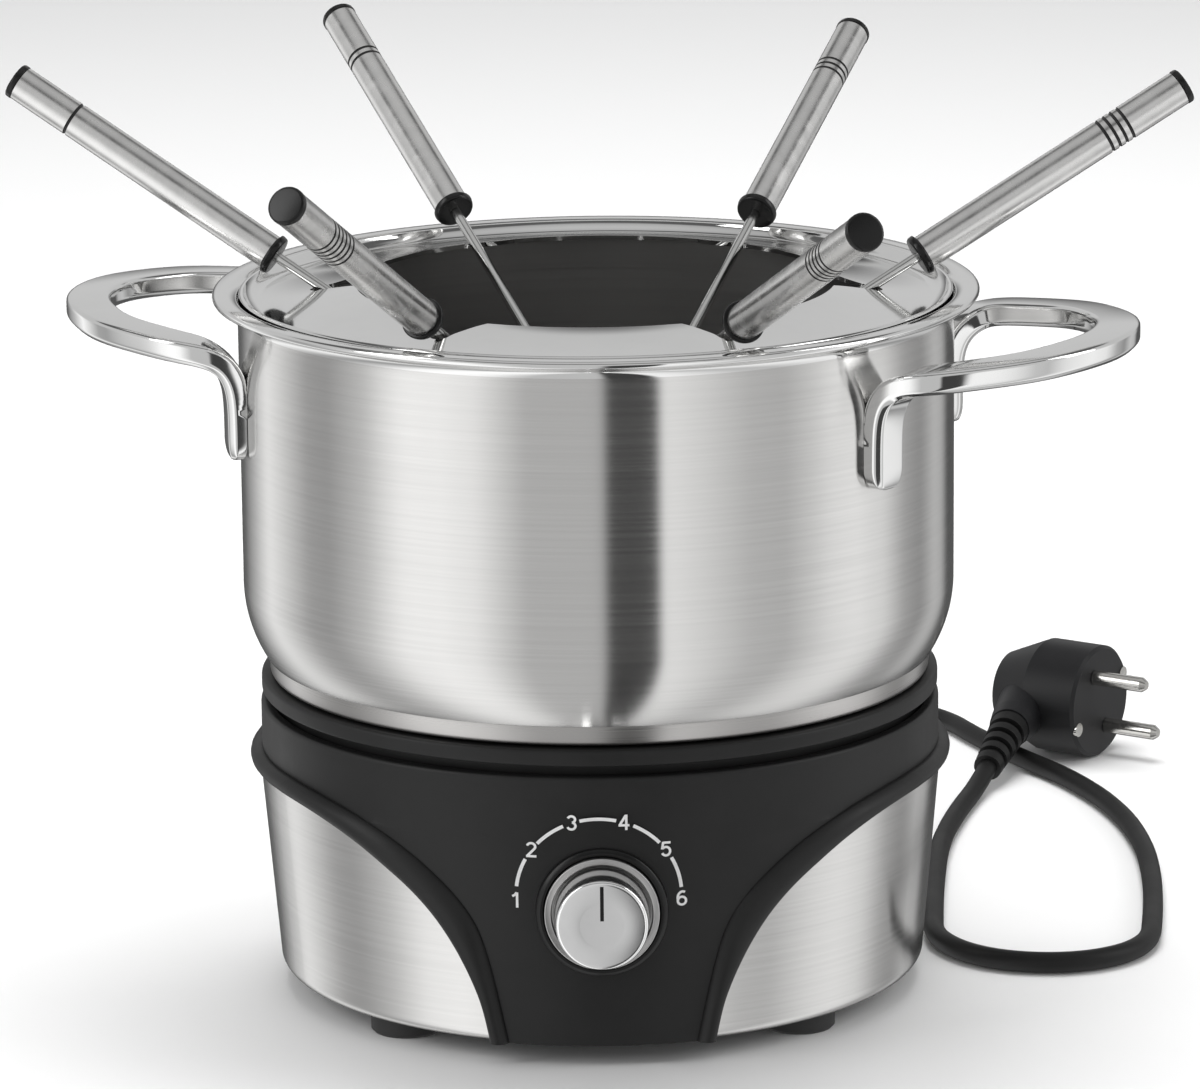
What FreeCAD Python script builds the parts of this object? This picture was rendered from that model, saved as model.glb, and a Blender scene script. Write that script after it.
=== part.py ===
import FreeCAD, Part
import math
import os

"""Electric fondue set: a heated drum base with a dial and a mains lead, a steel pot with two loop
handles, a slotted ring in its mouth, and six forks resting in the ring's slots.

Millimetres. +Z is up and the origin is on the table, on the axis of the pot. -Y is the front,
where the dial is."""

V = FreeCAD.Vector
UP = V(0, 0, 1)

# ---------------------------------------------------------------- driving dimensions
FOOT_H = 6.0
FOOT_R = 10.0
FOOT_AT_R = 77.0

SHELL_LOW_R = 91.2
SHELL_TOP_R = 96.3
SHELL_LOW_Z = FOOT_H
SHELL_TOP_Z = 64.8
SHELL_WALL = 0.9

COLLAR_R = 95.8
COLLAR_WALL = 3.0
COLLAR_TOP_Z = 83.0
COLLAR_LOW_Z = 64.9
PANEL_INSET = 0.25
PANEL_WALL = 2.4
BEAD_LOW_Z = 64.8
BEAD_TOP_Z = 69.7
BEAD_PROUD = 2.6

RING_LOW_Z = 86.0
RING_TOP_Z = 90.5
RING_R = 95.5
RING_BORE_R = 87.6
PLATE_R = 87.2
PLATE_LOW_Z = 83.0
PLATE_TOP_Z = 90.6

DISC_R = 93.0
DISC_LOW_Z = 91.0
POT_LOW_Z = 96.6
POT_R = 100.0
POT_WALL = 1.2
CORNER_R = 37.7
CREASE_R = 94.0
RIM_R = 107.0
RIM_Z = 199.4
RIM_T = 2.0
MOUTH_FILLET = 4.2

POT_TURN = -14.5
HANDLE_W = 12.5
HANDLE_T = 6.6
HANDLE_TIP_Z = 193.6
HANDLE_RISE = 5.2
TAB_AZ = 26.0
TAB_LOW_Z = 155.3
TAB_AXIS_R = 101.6
SHOULDER_R = 114.6
LOOP_POINTS = [(131.0, 37.5), (147.0, 13.5)]
LOOP_RADII = [10.0, 6.4, 24.0, 38.0]

GUIDE_R = 99.6
GUIDE_BORE_R = 67.0
GUIDE_TURN = -2.9
SLOT_W = 5.2
SLOT_END_R = 80.0
SLOT_MOUTH = 8.0

FORK_TUBE_R = 5.0
FORK_TUBE_L = 86.0
FORK_CAP_L = 1.8
FORK_CAP_R = 5.15
FORK_COLLAR_L = 2.2
FORK_COLLAR_R = 6.6
FORK_ROD_R = 1.5
FORK_LENGTH = 245.0
NOTCH_R = 76.0
NOTCH_Z = 198.2
TINE_L = 24.0
TINE_R = 0.9
TINE_SPREAD = 2.4
GROOVE_FIRST = 20.0
GROOVE_PITCH = 2.3
GROOVE_W = 0.7
GROOVE_D = 0.3

# number of grooves, direction of its slot and of the fork itself in degrees, tilt in degrees,
# slot to end of cap in mm
FORKS = [
    (1, 180.0, 165.24, 32.12, 106.0),
    (2, 120.0, 117.89, 31.81, 104.8),
    (3, 60.0, 66.61, 27.79, 104.8),
    (4, 0.0, 13.22, 30.05, 106.2),
    (5, -60.0, -68.28, 25.57, 102.6),
    (6, -120.0, -115.12, 29.8, 102.5),
]

DIAL_Z = 45.5
SEAT_R = 18.0
BEZEL_R = 15.6
KNOB_R = 13.2
KNOB_FACE_R = 12.2
KNOB_BACK_Y = -98.6
KNOB_FACE_Y = -109.2
SHAFT_R = 3.0
SHAFT_GAP = 0.05

GLAND_AZ = 72.0
GLAND_Z = 24.0
RELIEF_L = 24.0
GLAND_RUN = 20.0
CORD_R = 3.0

# corner points of the lead's route from near the drum to the plug
CORD_ROUTE = [
    (41.5, 153.0, 14.5),
    (32.0, 180.0, 3.1),
    (13.0, 205.0, 3.1),
    (-1.0, 232.0, 3.1),
    (5.0, 262.0, 3.1),
    (31.0, 280.0, 3.1),
    (64.0, 285.5, 3.1),
    (95.0, 281.0, 3.1),
    (113.0, 262.0, 3.1),
    (121.0, 240.0, 3.1),
    (133.0, 214.5, 3.1),
    (147.5, 189.0, 3.1),
    (159.5, 154.0, 3.1),
    (164.5, 115.0, 3.1),
    (164.0, 77.0, 3.1),
    (161.0, 39.0, 3.1),
    (157.0, 6.0, 3.1),
    (136.4, -9.8, 3.1),
    (110.7, -6.0, 3.1),
    (95.6, 15.2, 3.1),
    (97.0, 44.0, 3.1),
    (99.5, 80.0, 3.1),
    (103.0, 118.0, 3.1),
    (110.4, 152.5, 3.1),
    (117.3, 176.8, 3.1),
    (121.7, 189.2, 6.5),
]

PLUG_FACE = V(160.0, 226.0, 18.0)
PLUG_PIN_DIR = V(0.826, -0.563, 0.0)
PLUG_R = 18.0
PIN_R = 2.4
PIN_ROOT_R = 1.9
PIN_STEP = 0.2
PIN_L = 19.0
PIN_PITCH = 19.0
PLUG_RELIEF_L = 26.0

os.makedirs("parts", exist_ok=True)
nodes = []


def save(name, shape):
    """Write one node as solids only."""
    solids = shape.Solids
    assert solids, name
    shape = solids[0] if len(solids) == 1 else Part.makeCompound(solids)
    shape.exportStep("parts/" + name + ".step")
    box = shape.optimalBoundingBox(False)
    nodes.append(name)
    print("%-18s %2d solid(s) %9.1f mm3  x %.1f..%.1f  y %.1f..%.1f  z %.1f..%.1f  valid %s" % (
        name, len(solids), shape.Volume, box.XMin, box.XMax, box.YMin, box.YMax, box.ZMin,
        box.ZMax, shape.isValid()))


def turned(points, angle=360.0):
    """Revolve a closed outline of (radius, height) points about the axis of the pot.

    A point written ("arc", (r, z), (r, z)) is an arc through the first pair to the second."""
    edges = []
    first = V(points[0][0], 0, points[0][1])
    here = first
    for point in points[1:]:
        if point[0] == "arc":
            middle = V(point[1][0], 0, point[1][1])
            there = V(point[2][0], 0, point[2][1])
            edges.append(Part.Arc(here, middle, there).toShape())
        else:
            there = V(point[0], 0, point[1])
            edges.append(Part.LineSegment(here, there).toShape())
        here = there
    if here.distanceToPoint(first) > 1e-6:
        edges.append(Part.LineSegment(here, first).toShape())
    return Part.Face(Part.Wire(edges)).revolve(V(0, 0, 0), UP, angle)


def rod(start, end, radius, end_radius=None):
    """A round bar, or a cone, between two points."""
    axis = end - start
    if end_radius is None or abs(end_radius - radius) < 1e-9:
        return Part.makeCylinder(radius, axis.Length, start, axis)
    return Part.makeCone(radius, end_radius, axis.Length, start, axis)


def tube(start, end, outer, inner):
    """A round pipe between two points."""
    return rod(start, end, outer).cut(rod(start, end, inner))


def polar(radius, azimuth, z):
    angle = math.radians(azimuth)
    return V(radius * math.cos(angle), radius * math.sin(angle), z)


def filleted_path(points, radii):
    """A wire of straight runs joined by tangent arcs, one radius for each inner point."""
    edges = []
    here = points[0]
    for index in range(1, len(points) - 1):
        corner = points[index]
        into = (corner - points[index - 1]).normalize()
        out = (points[index + 1] - corner).normalize()
        turn = into.getAngle(out)
        trim = radii[index - 1] * math.tan(turn / 2)
        start = corner - into * trim
        end = corner + out * trim
        bisector = (out - into).normalize()
        middle = corner + bisector * (radii[index - 1] * (1 / math.cos(turn / 2) - 1))
        if here.distanceToPoint(start) > 1e-6:
            edges.append(Part.LineSegment(here, start).toShape())
        edges.append(Part.Arc(start, middle, end).toShape())
        here = end
    if here.distanceToPoint(points[-1]) > 1e-6:
        edges.append(Part.LineSegment(here, points[-1]).toShape())
    return Part.Wire(edges)


def round_sweep(path, radius):
    """A solid round bar along a wire."""
    edge = path.OrderedEdges[0]
    start = edge.valueAt(edge.FirstParameter)
    direction = edge.tangentAt(edge.FirstParameter)
    circle = Part.Wire([Part.makeCircle(radius, start, direction)])
    return path.makePipeShell([circle], True, False)


def shell_r(z):
    """Outside radius of the drum at a height."""
    share = (z - SHELL_LOW_Z) / (SHELL_TOP_Z - SHELL_LOW_Z)
    return SHELL_LOW_R + share * (SHELL_TOP_R - SHELL_LOW_R)


# ---------------------------------------------------------------- drum
# each arch is given by (degrees from the front, height) up one side
ARCH_OUTER = [(19.6, 6.0), (21.2, 18.0), (24.4, 30.0), (28.4, 40.0), (33.0, 47.5), (38.5, 53.5),
              (44.5, 58.5), (51.0, 62.0), (58.0, 64.0), (66.0, BEAD_LOW_Z)]
ARCH_INNER = [(16.4, 6.0), (17.8, 18.0), (19.4, 30.0), (21.2, 39.0), (24.2, 46.3), (28.2, 52.6),
              (33.0, 58.2), (38.6, 62.8), (45.5, 66.4), (54.0, 68.7), (63.0, BEAD_TOP_Z)]


def arch_area(curve, top_z, drop=0.0):
    """The area below an arch, seen from the front, as a prism through the front half."""
    side = [V(shell_r(z) * math.sin(math.radians(a)), 0, z) for a, z in curve]
    side[0] = side[0] - V(0, 0, drop)
    far = V(130, 0, curve[-1][1])
    left = [V(-p.x, p.y, p.z) for p in side]
    right_curve = Part.BSplineCurve()
    right_curve.interpolate(side)
    left_curve = Part.BSplineCurve()
    left_curve.interpolate(list(reversed(left)))
    corners = [side[-1], far, V(130, 0, top_z), V(-130, 0, top_z), V(-130, 0, far.z), left[-1]]
    edges = [right_curve.toShape()]
    edges += [Part.LineSegment(a, b).toShape() for a, b in zip(corners[:-1], corners[1:])]
    edges += [left_curve.toShape(), Part.LineSegment(left[0], side[0]).toShape()]
    return Part.Face(Part.Wire(edges)).extrude(V(0, -130, 0))


def skin(inset, depth, low_z, high_z):
    """A tapered ring that follows the drum, its outside `inset` below the drum's surface."""
    low_r = shell_r(low_z) - inset
    high_r = shell_r(high_z) - inset
    return turned([(low_r - depth, low_z), (low_r, low_z), (high_r, high_z),
                   (high_r - depth, high_z)])


dial_axis = V(0, 0, DIAL_Z)
shaft_hole = rod(V(0, -60, DIAL_Z), V(0, -120, DIAL_Z), SHAFT_R + 0.6)

drum_wall = turned([
    (85.0, SHELL_LOW_Z + 0.2), (88.4, SHELL_LOW_Z),
    ("arc", (90.4, SHELL_LOW_Z + 0.8), (SHELL_LOW_R + 0.22, SHELL_LOW_Z + 2.8)),
    (SHELL_TOP_R, SHELL_TOP_Z), (SHELL_TOP_R - SHELL_WALL, SHELL_TOP_Z),
    (SHELL_LOW_R + 0.22 - SHELL_WALL, SHELL_LOW_Z + 2.8),
    ("arc", (89.8, SHELL_LOW_Z + 1.5), (88.3, SHELL_LOW_Z + 1.0)), (85.0, SHELL_LOW_Z + 1.1)])
arch_opening = arch_area(ARCH_OUTER, 70.0, drop=2.0)
gland_hole = rod(polar(80, GLAND_AZ, GLAND_Z), polar(110, GLAND_AZ, GLAND_Z), 5.0)
drum_shell = drum_wall.cut(arch_opening).cut(gland_hole)
save("drum_shell", drum_shell)

collar = turned([
    (COLLAR_R - COLLAR_WALL, COLLAR_LOW_Z), (COLLAR_R, COLLAR_LOW_Z),
    (COLLAR_R, COLLAR_TOP_Z - 1.2),
    ("arc", (COLLAR_R - 0.35, COLLAR_TOP_Z - 0.35), (COLLAR_R - 1.2, COLLAR_TOP_Z)),
    (COLLAR_R - COLLAR_WALL, COLLAR_TOP_Z)])
panel = skin(PANEL_INSET, PANEL_WALL, SHELL_LOW_Z, COLLAR_LOW_Z)
panel = panel.common(arch_area(ARCH_OUTER, BEAD_LOW_Z + 1.0, drop=2.0))
fascia = collar.fuse(panel).cut(shaft_hole).removeSplitter()
save("fascia", fascia)

bead_skin = turned([
    (SHELL_LOW_R - PANEL_INSET, SHELL_LOW_Z), (SHELL_LOW_R + BEAD_PROUD, SHELL_LOW_Z),
    (shell_r(BEAD_TOP_Z) + BEAD_PROUD - 0.5, BEAD_TOP_Z - 0.5),
    (shell_r(BEAD_TOP_Z) + BEAD_PROUD - 1.0, BEAD_TOP_Z), (COLLAR_R, BEAD_TOP_Z),
    (COLLAR_R, COLLAR_LOW_Z), (shell_r(COLLAR_LOW_Z) - PANEL_INSET, COLLAR_LOW_Z)])
front_band = arch_area(ARCH_OUTER, 80.0, drop=2.0).cut(arch_area(ARCH_INNER, 81.0, drop=3.0))
back_band = Part.makeBox(260, 130, 40, V(-130, 0, BEAD_LOW_Z))
front_bead = bead_skin.common(front_band)
back_bead = bead_skin.common(back_band)
save("arch_bead", front_bead.fuse(back_bead).removeSplitter())

# ---------------------------------------------------------------- inside and below the drum
base_plate = turned([(0, 7.4), (87.8, 7.4), (87.8, 9.6), (0, 9.6)])
vent = Part.makeBox(30, 2.4, 10, V(-15, -1.2, 4))
for step in range(-3, 4):
    base_plate = base_plate.cut(vent.translated(V(0, step * 7.0, 0)))
foot_places = [polar(FOOT_AT_R, azimuth, 0) for azimuth in (-135, -45, 45, 135)]
for place in foot_places:
    base_plate = base_plate.fuse(rod(place + V(0, 0, 9.0), place + V(0, 0, 62.0), 4.5))
    base_plate = base_plate.cut(rod(place + V(0, 0, 5), place + V(0, 0, 18), 2.0))
save("base_plate", base_plate.removeSplitter())

screws = []
for number, place in enumerate(foot_places, start=1):
    foot = rod(place, place + V(0, 0, 0.8), FOOT_R - 0.8, FOOT_R)
    foot = foot.fuse(rod(place + V(0, 0, 0.8), place + V(0, 0, FOOT_H - 0.2), FOOT_R))
    foot = foot.fuse(rod(place + V(0, 0, FOOT_H - 0.2), place + V(0, 0, 7.4), 7.0))
    foot = foot.cut(rod(place - V(0, 0, 1), place + V(0, 0, 2.6), 3.6))
    foot = foot.cut(rod(place, place + V(0, 0, 9), 2.1))
    save("foot_%d" % number, foot)
    head = rod(place + V(0, 0, 1.0), place + V(0, 0, 2.6), 3.4)
    slot = Part.makeBox(5, 0.8, 0.8, place + V(-2.5, -0.4, 0.6))
    screws.append(head.cut(slot).fuse(rod(place + V(0, 0, 2.6), place + V(0, 0, 15.6), 2.0)))
save("foot_screws", Part.makeCompound(screws))

heat_shield = turned([(0, 62.0), (88.0, 62.0), (88.0, 66.0), (87.2, 66.0), (87.2, 62.8), (0, 62.8)])
heat_shield = heat_shield.cut(rod(V(0, 0, 60), V(0, 0, 70), 9.0))
heat_shield = heat_shield.cut(rod(V(56.7, 12, 60), V(56.7, 12, 70), 3.0))
save("heat_shield", heat_shield)

hotplate_ring = turned([
    (RING_BORE_R, 66.4), (91.4, 66.4), (91.4, RING_LOW_Z), (RING_R - 0.5, RING_LOW_Z),
    (RING_R, RING_LOW_Z + 0.5), (RING_R, RING_TOP_Z - 1.0),
    ("arc", (RING_R - 0.3, RING_TOP_Z - 0.3), (RING_R - 1.0, RING_TOP_Z)),
    (89.4, RING_TOP_Z), (88.6, RING_TOP_Z - 0.5), (RING_BORE_R, RING_TOP_Z - 0.5)])
save("hotplate_ring", hotplate_ring)

hotplate = turned([(0, PLATE_LOW_Z), (PLATE_R, PLATE_LOW_Z), (PLATE_R, PLATE_TOP_Z - 1.0),
                   (PLATE_R - 1.0, PLATE_TOP_Z), (0, PLATE_TOP_Z)])
for groove_r in (28.0, 46.0, 64.0):
    hotplate = hotplate.cut(turned([
        (groove_r, PLATE_TOP_Z - 0.4), (groove_r + 1.2, PLATE_TOP_Z - 0.4),
        (groove_r + 1.2, PLATE_TOP_Z + 1), (groove_r, PLATE_TOP_Z + 1)]))
save("hotplate", hotplate)

ELEMENT_R = 58.0
ELEMENT_BAR_R = 3.9
element_z = PLATE_LOW_Z - ELEMENT_BAR_R
element = Part.makeTorus(ELEMENT_R, ELEMENT_BAR_R, V(0, 0, element_z), UP)
element = element.cut(Part.makeBox(60, 16, 20, V(30, -8, element_z - 10)))
for side in (-1, 1):
    leg = V(math.sqrt(ELEMENT_R ** 2 - 12.0 ** 2), side * 12.0, element_z)
    element = element.fuse(rod(leg, leg - V(0, 0, 11.0), 2.6))
save("heating_element", element)

# ---------------------------------------------------------------- thermostat and wiring
thermostat = Part.makeBox(30, 22, 30, V(-15, -88, DIAL_Z - 15))
thermostat = thermostat.fuse(rod(V(0, -88, DIAL_Z), V(0, -90.6, DIAL_Z), 6.0))
thermostat = thermostat.cut(rod(V(0, -80, DIAL_Z), V(0, -92, DIAL_Z), SHAFT_R + SHAFT_GAP))
save("thermostat", thermostat)

bracket = Part.makeBox(34, 1.5, 44, V(-17, -65.9, 9.6)).fuse(
    Part.makeBox(34, 20, 1.5, V(-17, -65.9, 9.6)))
save("thermostat_bracket", bracket)

sensor = rod(V(0, -64.4, DIAL_Z), V(0, -20, DIAL_Z), 1.0)
sensor = sensor.fuse(Part.makeSphere(1.0, V(0, -20, DIAL_Z)))
sensor = sensor.fuse(rod(V(0, -20, DIAL_Z), V(0, -20, 61.0), 1.0))
save("thermostat_sensor", sensor)

fuse_body = rod(V(-20, 20, 40), V(-20, 44, 40), 3.0)
fuse_body = fuse_body.fuse(rod(V(-20, 14, 40), V(-20, 50, 40), 0.8))
save("thermal_fuse", fuse_body)

terminal_block = Part.makeBox(36, 14, 12, V(2, 44, 9.6))
for step in range(3):
    terminal_block = terminal_block.cut(rod(V(8 + step * 12, 51, 16), V(8 + step * 12, 51, 24), 3))
save("terminal_block", terminal_block)

wire_routes = [
    [V(8, 44.0, 17), V(8, 6, 17), V(-5, -36, 34), V(-6, -52, 57), V(-6, -66, 57)],
    [V(20, 44.0, 17), V(20, 24, 17), V(45, 12, 30), V(56.7, 12, 50), V(56.7, 12, 68.1)],
    [V(-20, 14, 40), V(-20, -10, 40), V(-11, -44, 57), V(-11, -66, 57)],
]
wires = [round_sweep(filleted_path(route, [6.0] * (len(route) - 2)), 1.1) for route in wire_routes]
save("inner_wires", Part.makeCompound(wires))

# ---------------------------------------------------------------- dial
seat = rod(V(0, -90.0, DIAL_Z), V(0, -96.6, DIAL_Z), SEAT_R, SEAT_R - 0.4)
seat = seat.fuse(rod(V(0, -96.6, DIAL_Z), V(0, -97.4, DIAL_Z), SEAT_R - 0.4, SEAT_R - 1.3))
seat = seat.cut(rod(V(0, -80, DIAL_Z), V(0, -120, DIAL_Z), BEZEL_R))
drum_inside = turned([(0, 0), (shell_r(0) - PANEL_INSET, 0), (shell_r(80) - PANEL_INSET, 80),
                      (0, 80)])
save("dial_seat", seat.cut(drum_inside))

bezel = rod(V(0, -90.0, DIAL_Z), V(0, -97.6, DIAL_Z), BEZEL_R)
bezel = bezel.fuse(rod(V(0, -97.6, DIAL_Z), V(0, -98.4, DIAL_Z), BEZEL_R, BEZEL_R - 0.7))
bezel = bezel.cut(rod(V(0, -80, DIAL_Z), V(0, -96.4, DIAL_Z), 4.0))
bezel = bezel.cut(rod(V(0, -96.4, DIAL_Z), V(0, -120, DIAL_Z), KNOB_R + 0.5))
save("dial_bezel", bezel.cut(drum_inside))

knob_cap = rod(V(0, KNOB_BACK_Y + 1.0, DIAL_Z), V(0, KNOB_FACE_Y + 1.2, DIAL_Z), KNOB_R, KNOB_FACE_R + 0.25)
knob_cap = knob_cap.fuse(rod(V(0, KNOB_FACE_Y + 1.2, DIAL_Z), V(0, KNOB_FACE_Y, DIAL_Z),
                             KNOB_FACE_R + 0.25, KNOB_FACE_R - 0.8))
knob_cap = knob_cap.cut(rod(V(0, KNOB_BACK_Y + 2.0, DIAL_Z), V(0, KNOB_FACE_Y + 1.6, DIAL_Z), 11.0))
pointer_box = Part.makeBox(1.0, 1.0, 9.6, V(-0.5, KNOB_FACE_Y - 0.5, DIAL_Z + 1.4))
save("knob_cap", knob_cap.cut(pointer_box))
pointer = Part.makeBox(1.0, 0.6, 9.6, V(-0.5, KNOB_FACE_Y - 0.1, DIAL_Z + 1.4))
save("knob_pointer", pointer)
core = rod(V(0, KNOB_BACK_Y + 1.4, DIAL_Z), V(0, KNOB_FACE_Y + 1.6, DIAL_Z), 11.0)
core = core.cut(rod(V(0, KNOB_BACK_Y + 4, DIAL_Z), V(0, KNOB_FACE_Y + 4.0, DIAL_Z), SHAFT_R))
save("knob_core", core)
shaft = rod(V(0, -81.0, DIAL_Z), V(0, KNOB_FACE_Y + 4.0, DIAL_Z), SHAFT_R)
save("knob_shaft", shaft)

# ---------------------------------------------------------------- lead and plug
gland_out = polar(1, GLAND_AZ, 0)
wall_r = shell_r(GLAND_Z)
gland_at = polar(wall_r, GLAND_AZ, GLAND_Z)
gland = rod(gland_at - gland_out * 4.0, gland_at + gland_out * 0.4, 4.9)
gland = gland.fuse(rod(gland_at + gland_out * 0.4, gland_at + gland_out * 2.6, 8.0, 6.6))
gland = gland.fuse(rod(gland_at - gland_out * 6.0, gland_at - gland_out * 2.4, 6.4))
gland = gland.cut(drum_shell)
relief_tip = gland_at + gland_out * RELIEF_L
gland = gland.fuse(rod(gland_at + gland_out * 2.6, relief_tip, 5.4, 3.8))
for step in range(4):
    at = gland_at + gland_out * (6.5 + step * 4.2)
    ring = tube(at, at + gland_out * 1.4, 7.0, 3.5 + 0.0)
    gland = gland.cut(ring)
save("cord_gland", gland)

corners = [relief_tip, relief_tip + gland_out * GLAND_RUN] + [V(*point) for point in CORD_ROUTE]
runs = [a.distanceToPoint(b) for a, b in zip(corners[:-1], corners[1:])]
radii = []
for index in range(1, len(corners) - 1):
    turn = (corners[index] - corners[index - 1]).getAngle(corners[index + 1] - corners[index])
    radii.append(0.45 * min(runs[index - 1], runs[index]) / math.tan(turn / 2))
print("relief tip", relief_tip)
print("cord runs", [round(run, 1) for run in runs])
print("cord radii", [round(radius, 1) for radius in radii], "smallest", round(min(radii), 1))
cord_path = filleted_path(corners, radii)
cord = round_sweep(cord_path, CORD_R)
print("cord length", round(cord_path.Length, 1), "volume", round(cord.Volume, 1),
      "section x length", round(math.pi * CORD_R ** 2 * cord_path.Length, 1))
save("power_cord", cord)

pin_dir = PLUG_PIN_DIR.normalize()
cord_end = corners[-1]
relief_dir = (corners[-1] - corners[-2]).normalize()
relief_start = cord_end + relief_dir * PLUG_RELIEF_L
arm_root = PLUG_FACE - pin_dir * 24.0
arm_dir = (relief_start - arm_root).normalize()
side_dir = pin_dir.cross(UP)
plug_body = rod(PLUG_FACE, PLUG_FACE - pin_dir * 1.0, PLUG_R - 1.0, PLUG_R)
plug_body = plug_body.fuse(rod(PLUG_FACE - pin_dir * 1.0, PLUG_FACE - pin_dir * 19.0, PLUG_R))
plug_body = plug_body.fuse(rod(PLUG_FACE - pin_dir * 19.0, PLUG_FACE - pin_dir * 33.0, PLUG_R, 12.0))
plug_body = plug_body.fuse(rod(arm_root, arm_root + arm_dir * 24.0, 10.0, 7.4))
plug_body = plug_body.fuse(rod(arm_root + arm_dir * 24.0, relief_start, 7.4, 6.6))
pin_line = UP * math.cos(math.radians(24.0)) + side_dir * math.sin(math.radians(24.0))
clip_line = pin_dir.cross(pin_line).normalize()
pins = []
for sign in (-1, 1):
    root = PLUG_FACE + pin_line * (sign * PIN_PITCH / 2)
    pin = rod(root - pin_dir * 8.0, root + pin_dir * PIN_STEP, PIN_ROOT_R)
    pin = pin.fuse(rod(root + pin_dir * PIN_STEP, root + pin_dir * (PIN_L - 1.6), PIN_R))
    pin = pin.fuse(rod(root + pin_dir * (PIN_L - 1.6), root + pin_dir * PIN_L, PIN_R, PIN_R - 1.0))
    pins.append(pin)
pins = Part.makeCompound(pins)
clips = []
for sign in (-1, 1):
    root = PLUG_FACE + clip_line * (sign * 15.4)
    clip = rod(root - pin_dir * 12.0, root + pin_dir * 0.4, 2.2)
    clips.append(clip)
clips = Part.makeCompound(clips)
save("plug_body", plug_body.cut(pins).cut(clips))
save("plug_pins", pins)
save("plug_clips", clips)

relief = rod(relief_start, cord_end, 6.2, 4.4)
for step in range(4):
    at = cord_end + relief_dir * (3.4 + step * 5.4)
    relief = relief.cut(tube(at, at + relief_dir * 2.4, 8.0, 3.7))
save("plug_relief", relief.cut(plug_body))

# ---------------------------------------------------------------- pot
corner_mid = math.radians(-28.0)
corner_z = POT_LOW_Z + math.sqrt(CORNER_R ** 2 - (CORNER_R - (POT_R - CREASE_R)) ** 2)
centre_r = POT_R - CORNER_R
outer_mid = (centre_r + CORNER_R * math.cos(corner_mid / 2),
             corner_z + CORNER_R * math.sin(corner_mid / 2))
inner_corner_r = CORNER_R - POT_WALL
floor_z = POT_LOW_Z + 1.4
floor_angle = math.asin((floor_z - corner_z) / inner_corner_r)
inner_floor_r = centre_r + inner_corner_r * math.cos(floor_angle)
inner_mid = (centre_r + inner_corner_r * math.cos(floor_angle / 2),
             corner_z + inner_corner_r * math.sin(floor_angle / 2))
mouth_r = POT_R - POT_WALL
fillet_mid = MOUTH_FILLET * (1 - math.cos(math.radians(45)))
under_z = RIM_Z - RIM_T
pot_shell = turned([
    (0, POT_LOW_Z), (CREASE_R, POT_LOW_Z), ("arc", outer_mid, (POT_R, corner_z)),
    (POT_R, under_z - 3.4),
    ("arc", (POT_R + 1.0, under_z - 1.0), (POT_R + 3.4, under_z)),
    (RIM_R - 0.9, under_z),
    ("arc", (RIM_R, under_z + 0.95), (RIM_R - 1.05, RIM_Z)),
    (mouth_r + MOUTH_FILLET, RIM_Z),
    ("arc", (mouth_r + fillet_mid, RIM_Z - fillet_mid), (mouth_r, RIM_Z - MOUTH_FILLET)),
    (mouth_r, corner_z), ("arc", inner_mid, (inner_floor_r, floor_z)), (0, floor_z)])
save("pot_shell", pot_shell)

pot_disc = turned([(0, DISC_LOW_Z), (DISC_R - 1.2, DISC_LOW_Z),
                   ("arc", (DISC_R - 0.35, DISC_LOW_Z + 0.35), (DISC_R, DISC_LOW_Z + 1.2)),
                   (DISC_R, POT_LOW_Z), (0, POT_LOW_Z)])
save("pot_disc", pot_disc)

def on_loop(x, y):
    """A point on the middle plane of a handle loop, which rises towards its tip."""
    fall = (LOOP_POINTS[-1][0] - x) * math.tan(math.radians(HANDLE_RISE))
    return V(x, y, HANDLE_TIP_Z - HANDLE_T / 2 - fall)


tab_out = polar(1, TAB_AZ, 0)
tab_foot = polar(TAB_AXIS_R, TAB_AZ, TAB_LOW_Z)
tab_top = on_loop(tab_foot.x, tab_foot.y)
shoulder = on_loop(tab_out.x * SHOULDER_R, tab_out.y * SHOULDER_R)
half = [tab_foot, tab_top, shoulder] + [on_loop(x, y) for x, y in LOOP_POINTS]
loop = half + [V(p.x, -p.y, p.z) for p in reversed(half)]
loop_radii = LOOP_RADII + LOOP_RADII[::-1]
loop_path = filleted_path(loop, loop_radii)
across = V(0, 0, 1).cross(tab_out)
section_points = []
for u, w in ((-1, 0.55), (-0.8, 1), (0.8, 1), (1, 0.55), (1, -0.35), (0.62, -0.88), (0.3, -1),
             (-0.3, -1), (-0.62, -0.88), (-1, -0.35)):
    section_points.append(tab_foot + across * (u * HANDLE_W / 2) - tab_out * (w * HANDLE_T / 2))
section = Part.makePolygon(section_points + [section_points[0]])
bar = loop_path.makePipeShell([section], True, False)
pot_space = rod(V(0, 0, 100), V(0, 0, 190), POT_R)
bar = bar.cut(pot_space)
for side in (-1, 1):
    out = polar(1, side * TAB_AZ, 0)
    foot = polar(TAB_AXIS_R, side * TAB_AZ, TAB_LOW_Z)
    along = V(0, 0, 1).cross(out)
    corner_box = Part.makeBox(16, 7, 20)
    placement = FreeCAD.Placement(foot - along * 8 - out * 10 - V(0, 0, 1),
                                  FreeCAD.Rotation(along, UP, out, "XYZ"))
    corner_box.Placement = placement
    round_end = rod(foot - out * 12 + V(0, 0, 6), foot + out * 12 + V(0, 0, 6), 6.6)
    bar = bar.cut(corner_box.cut(round_end))
for name, turn in (("handle_right", POT_TURN), ("handle_left", POT_TURN + 180)):
    handle = bar.copy()
    handle.rotate(V(0, 0, 0), UP, turn)
    save(name, handle)

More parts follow.
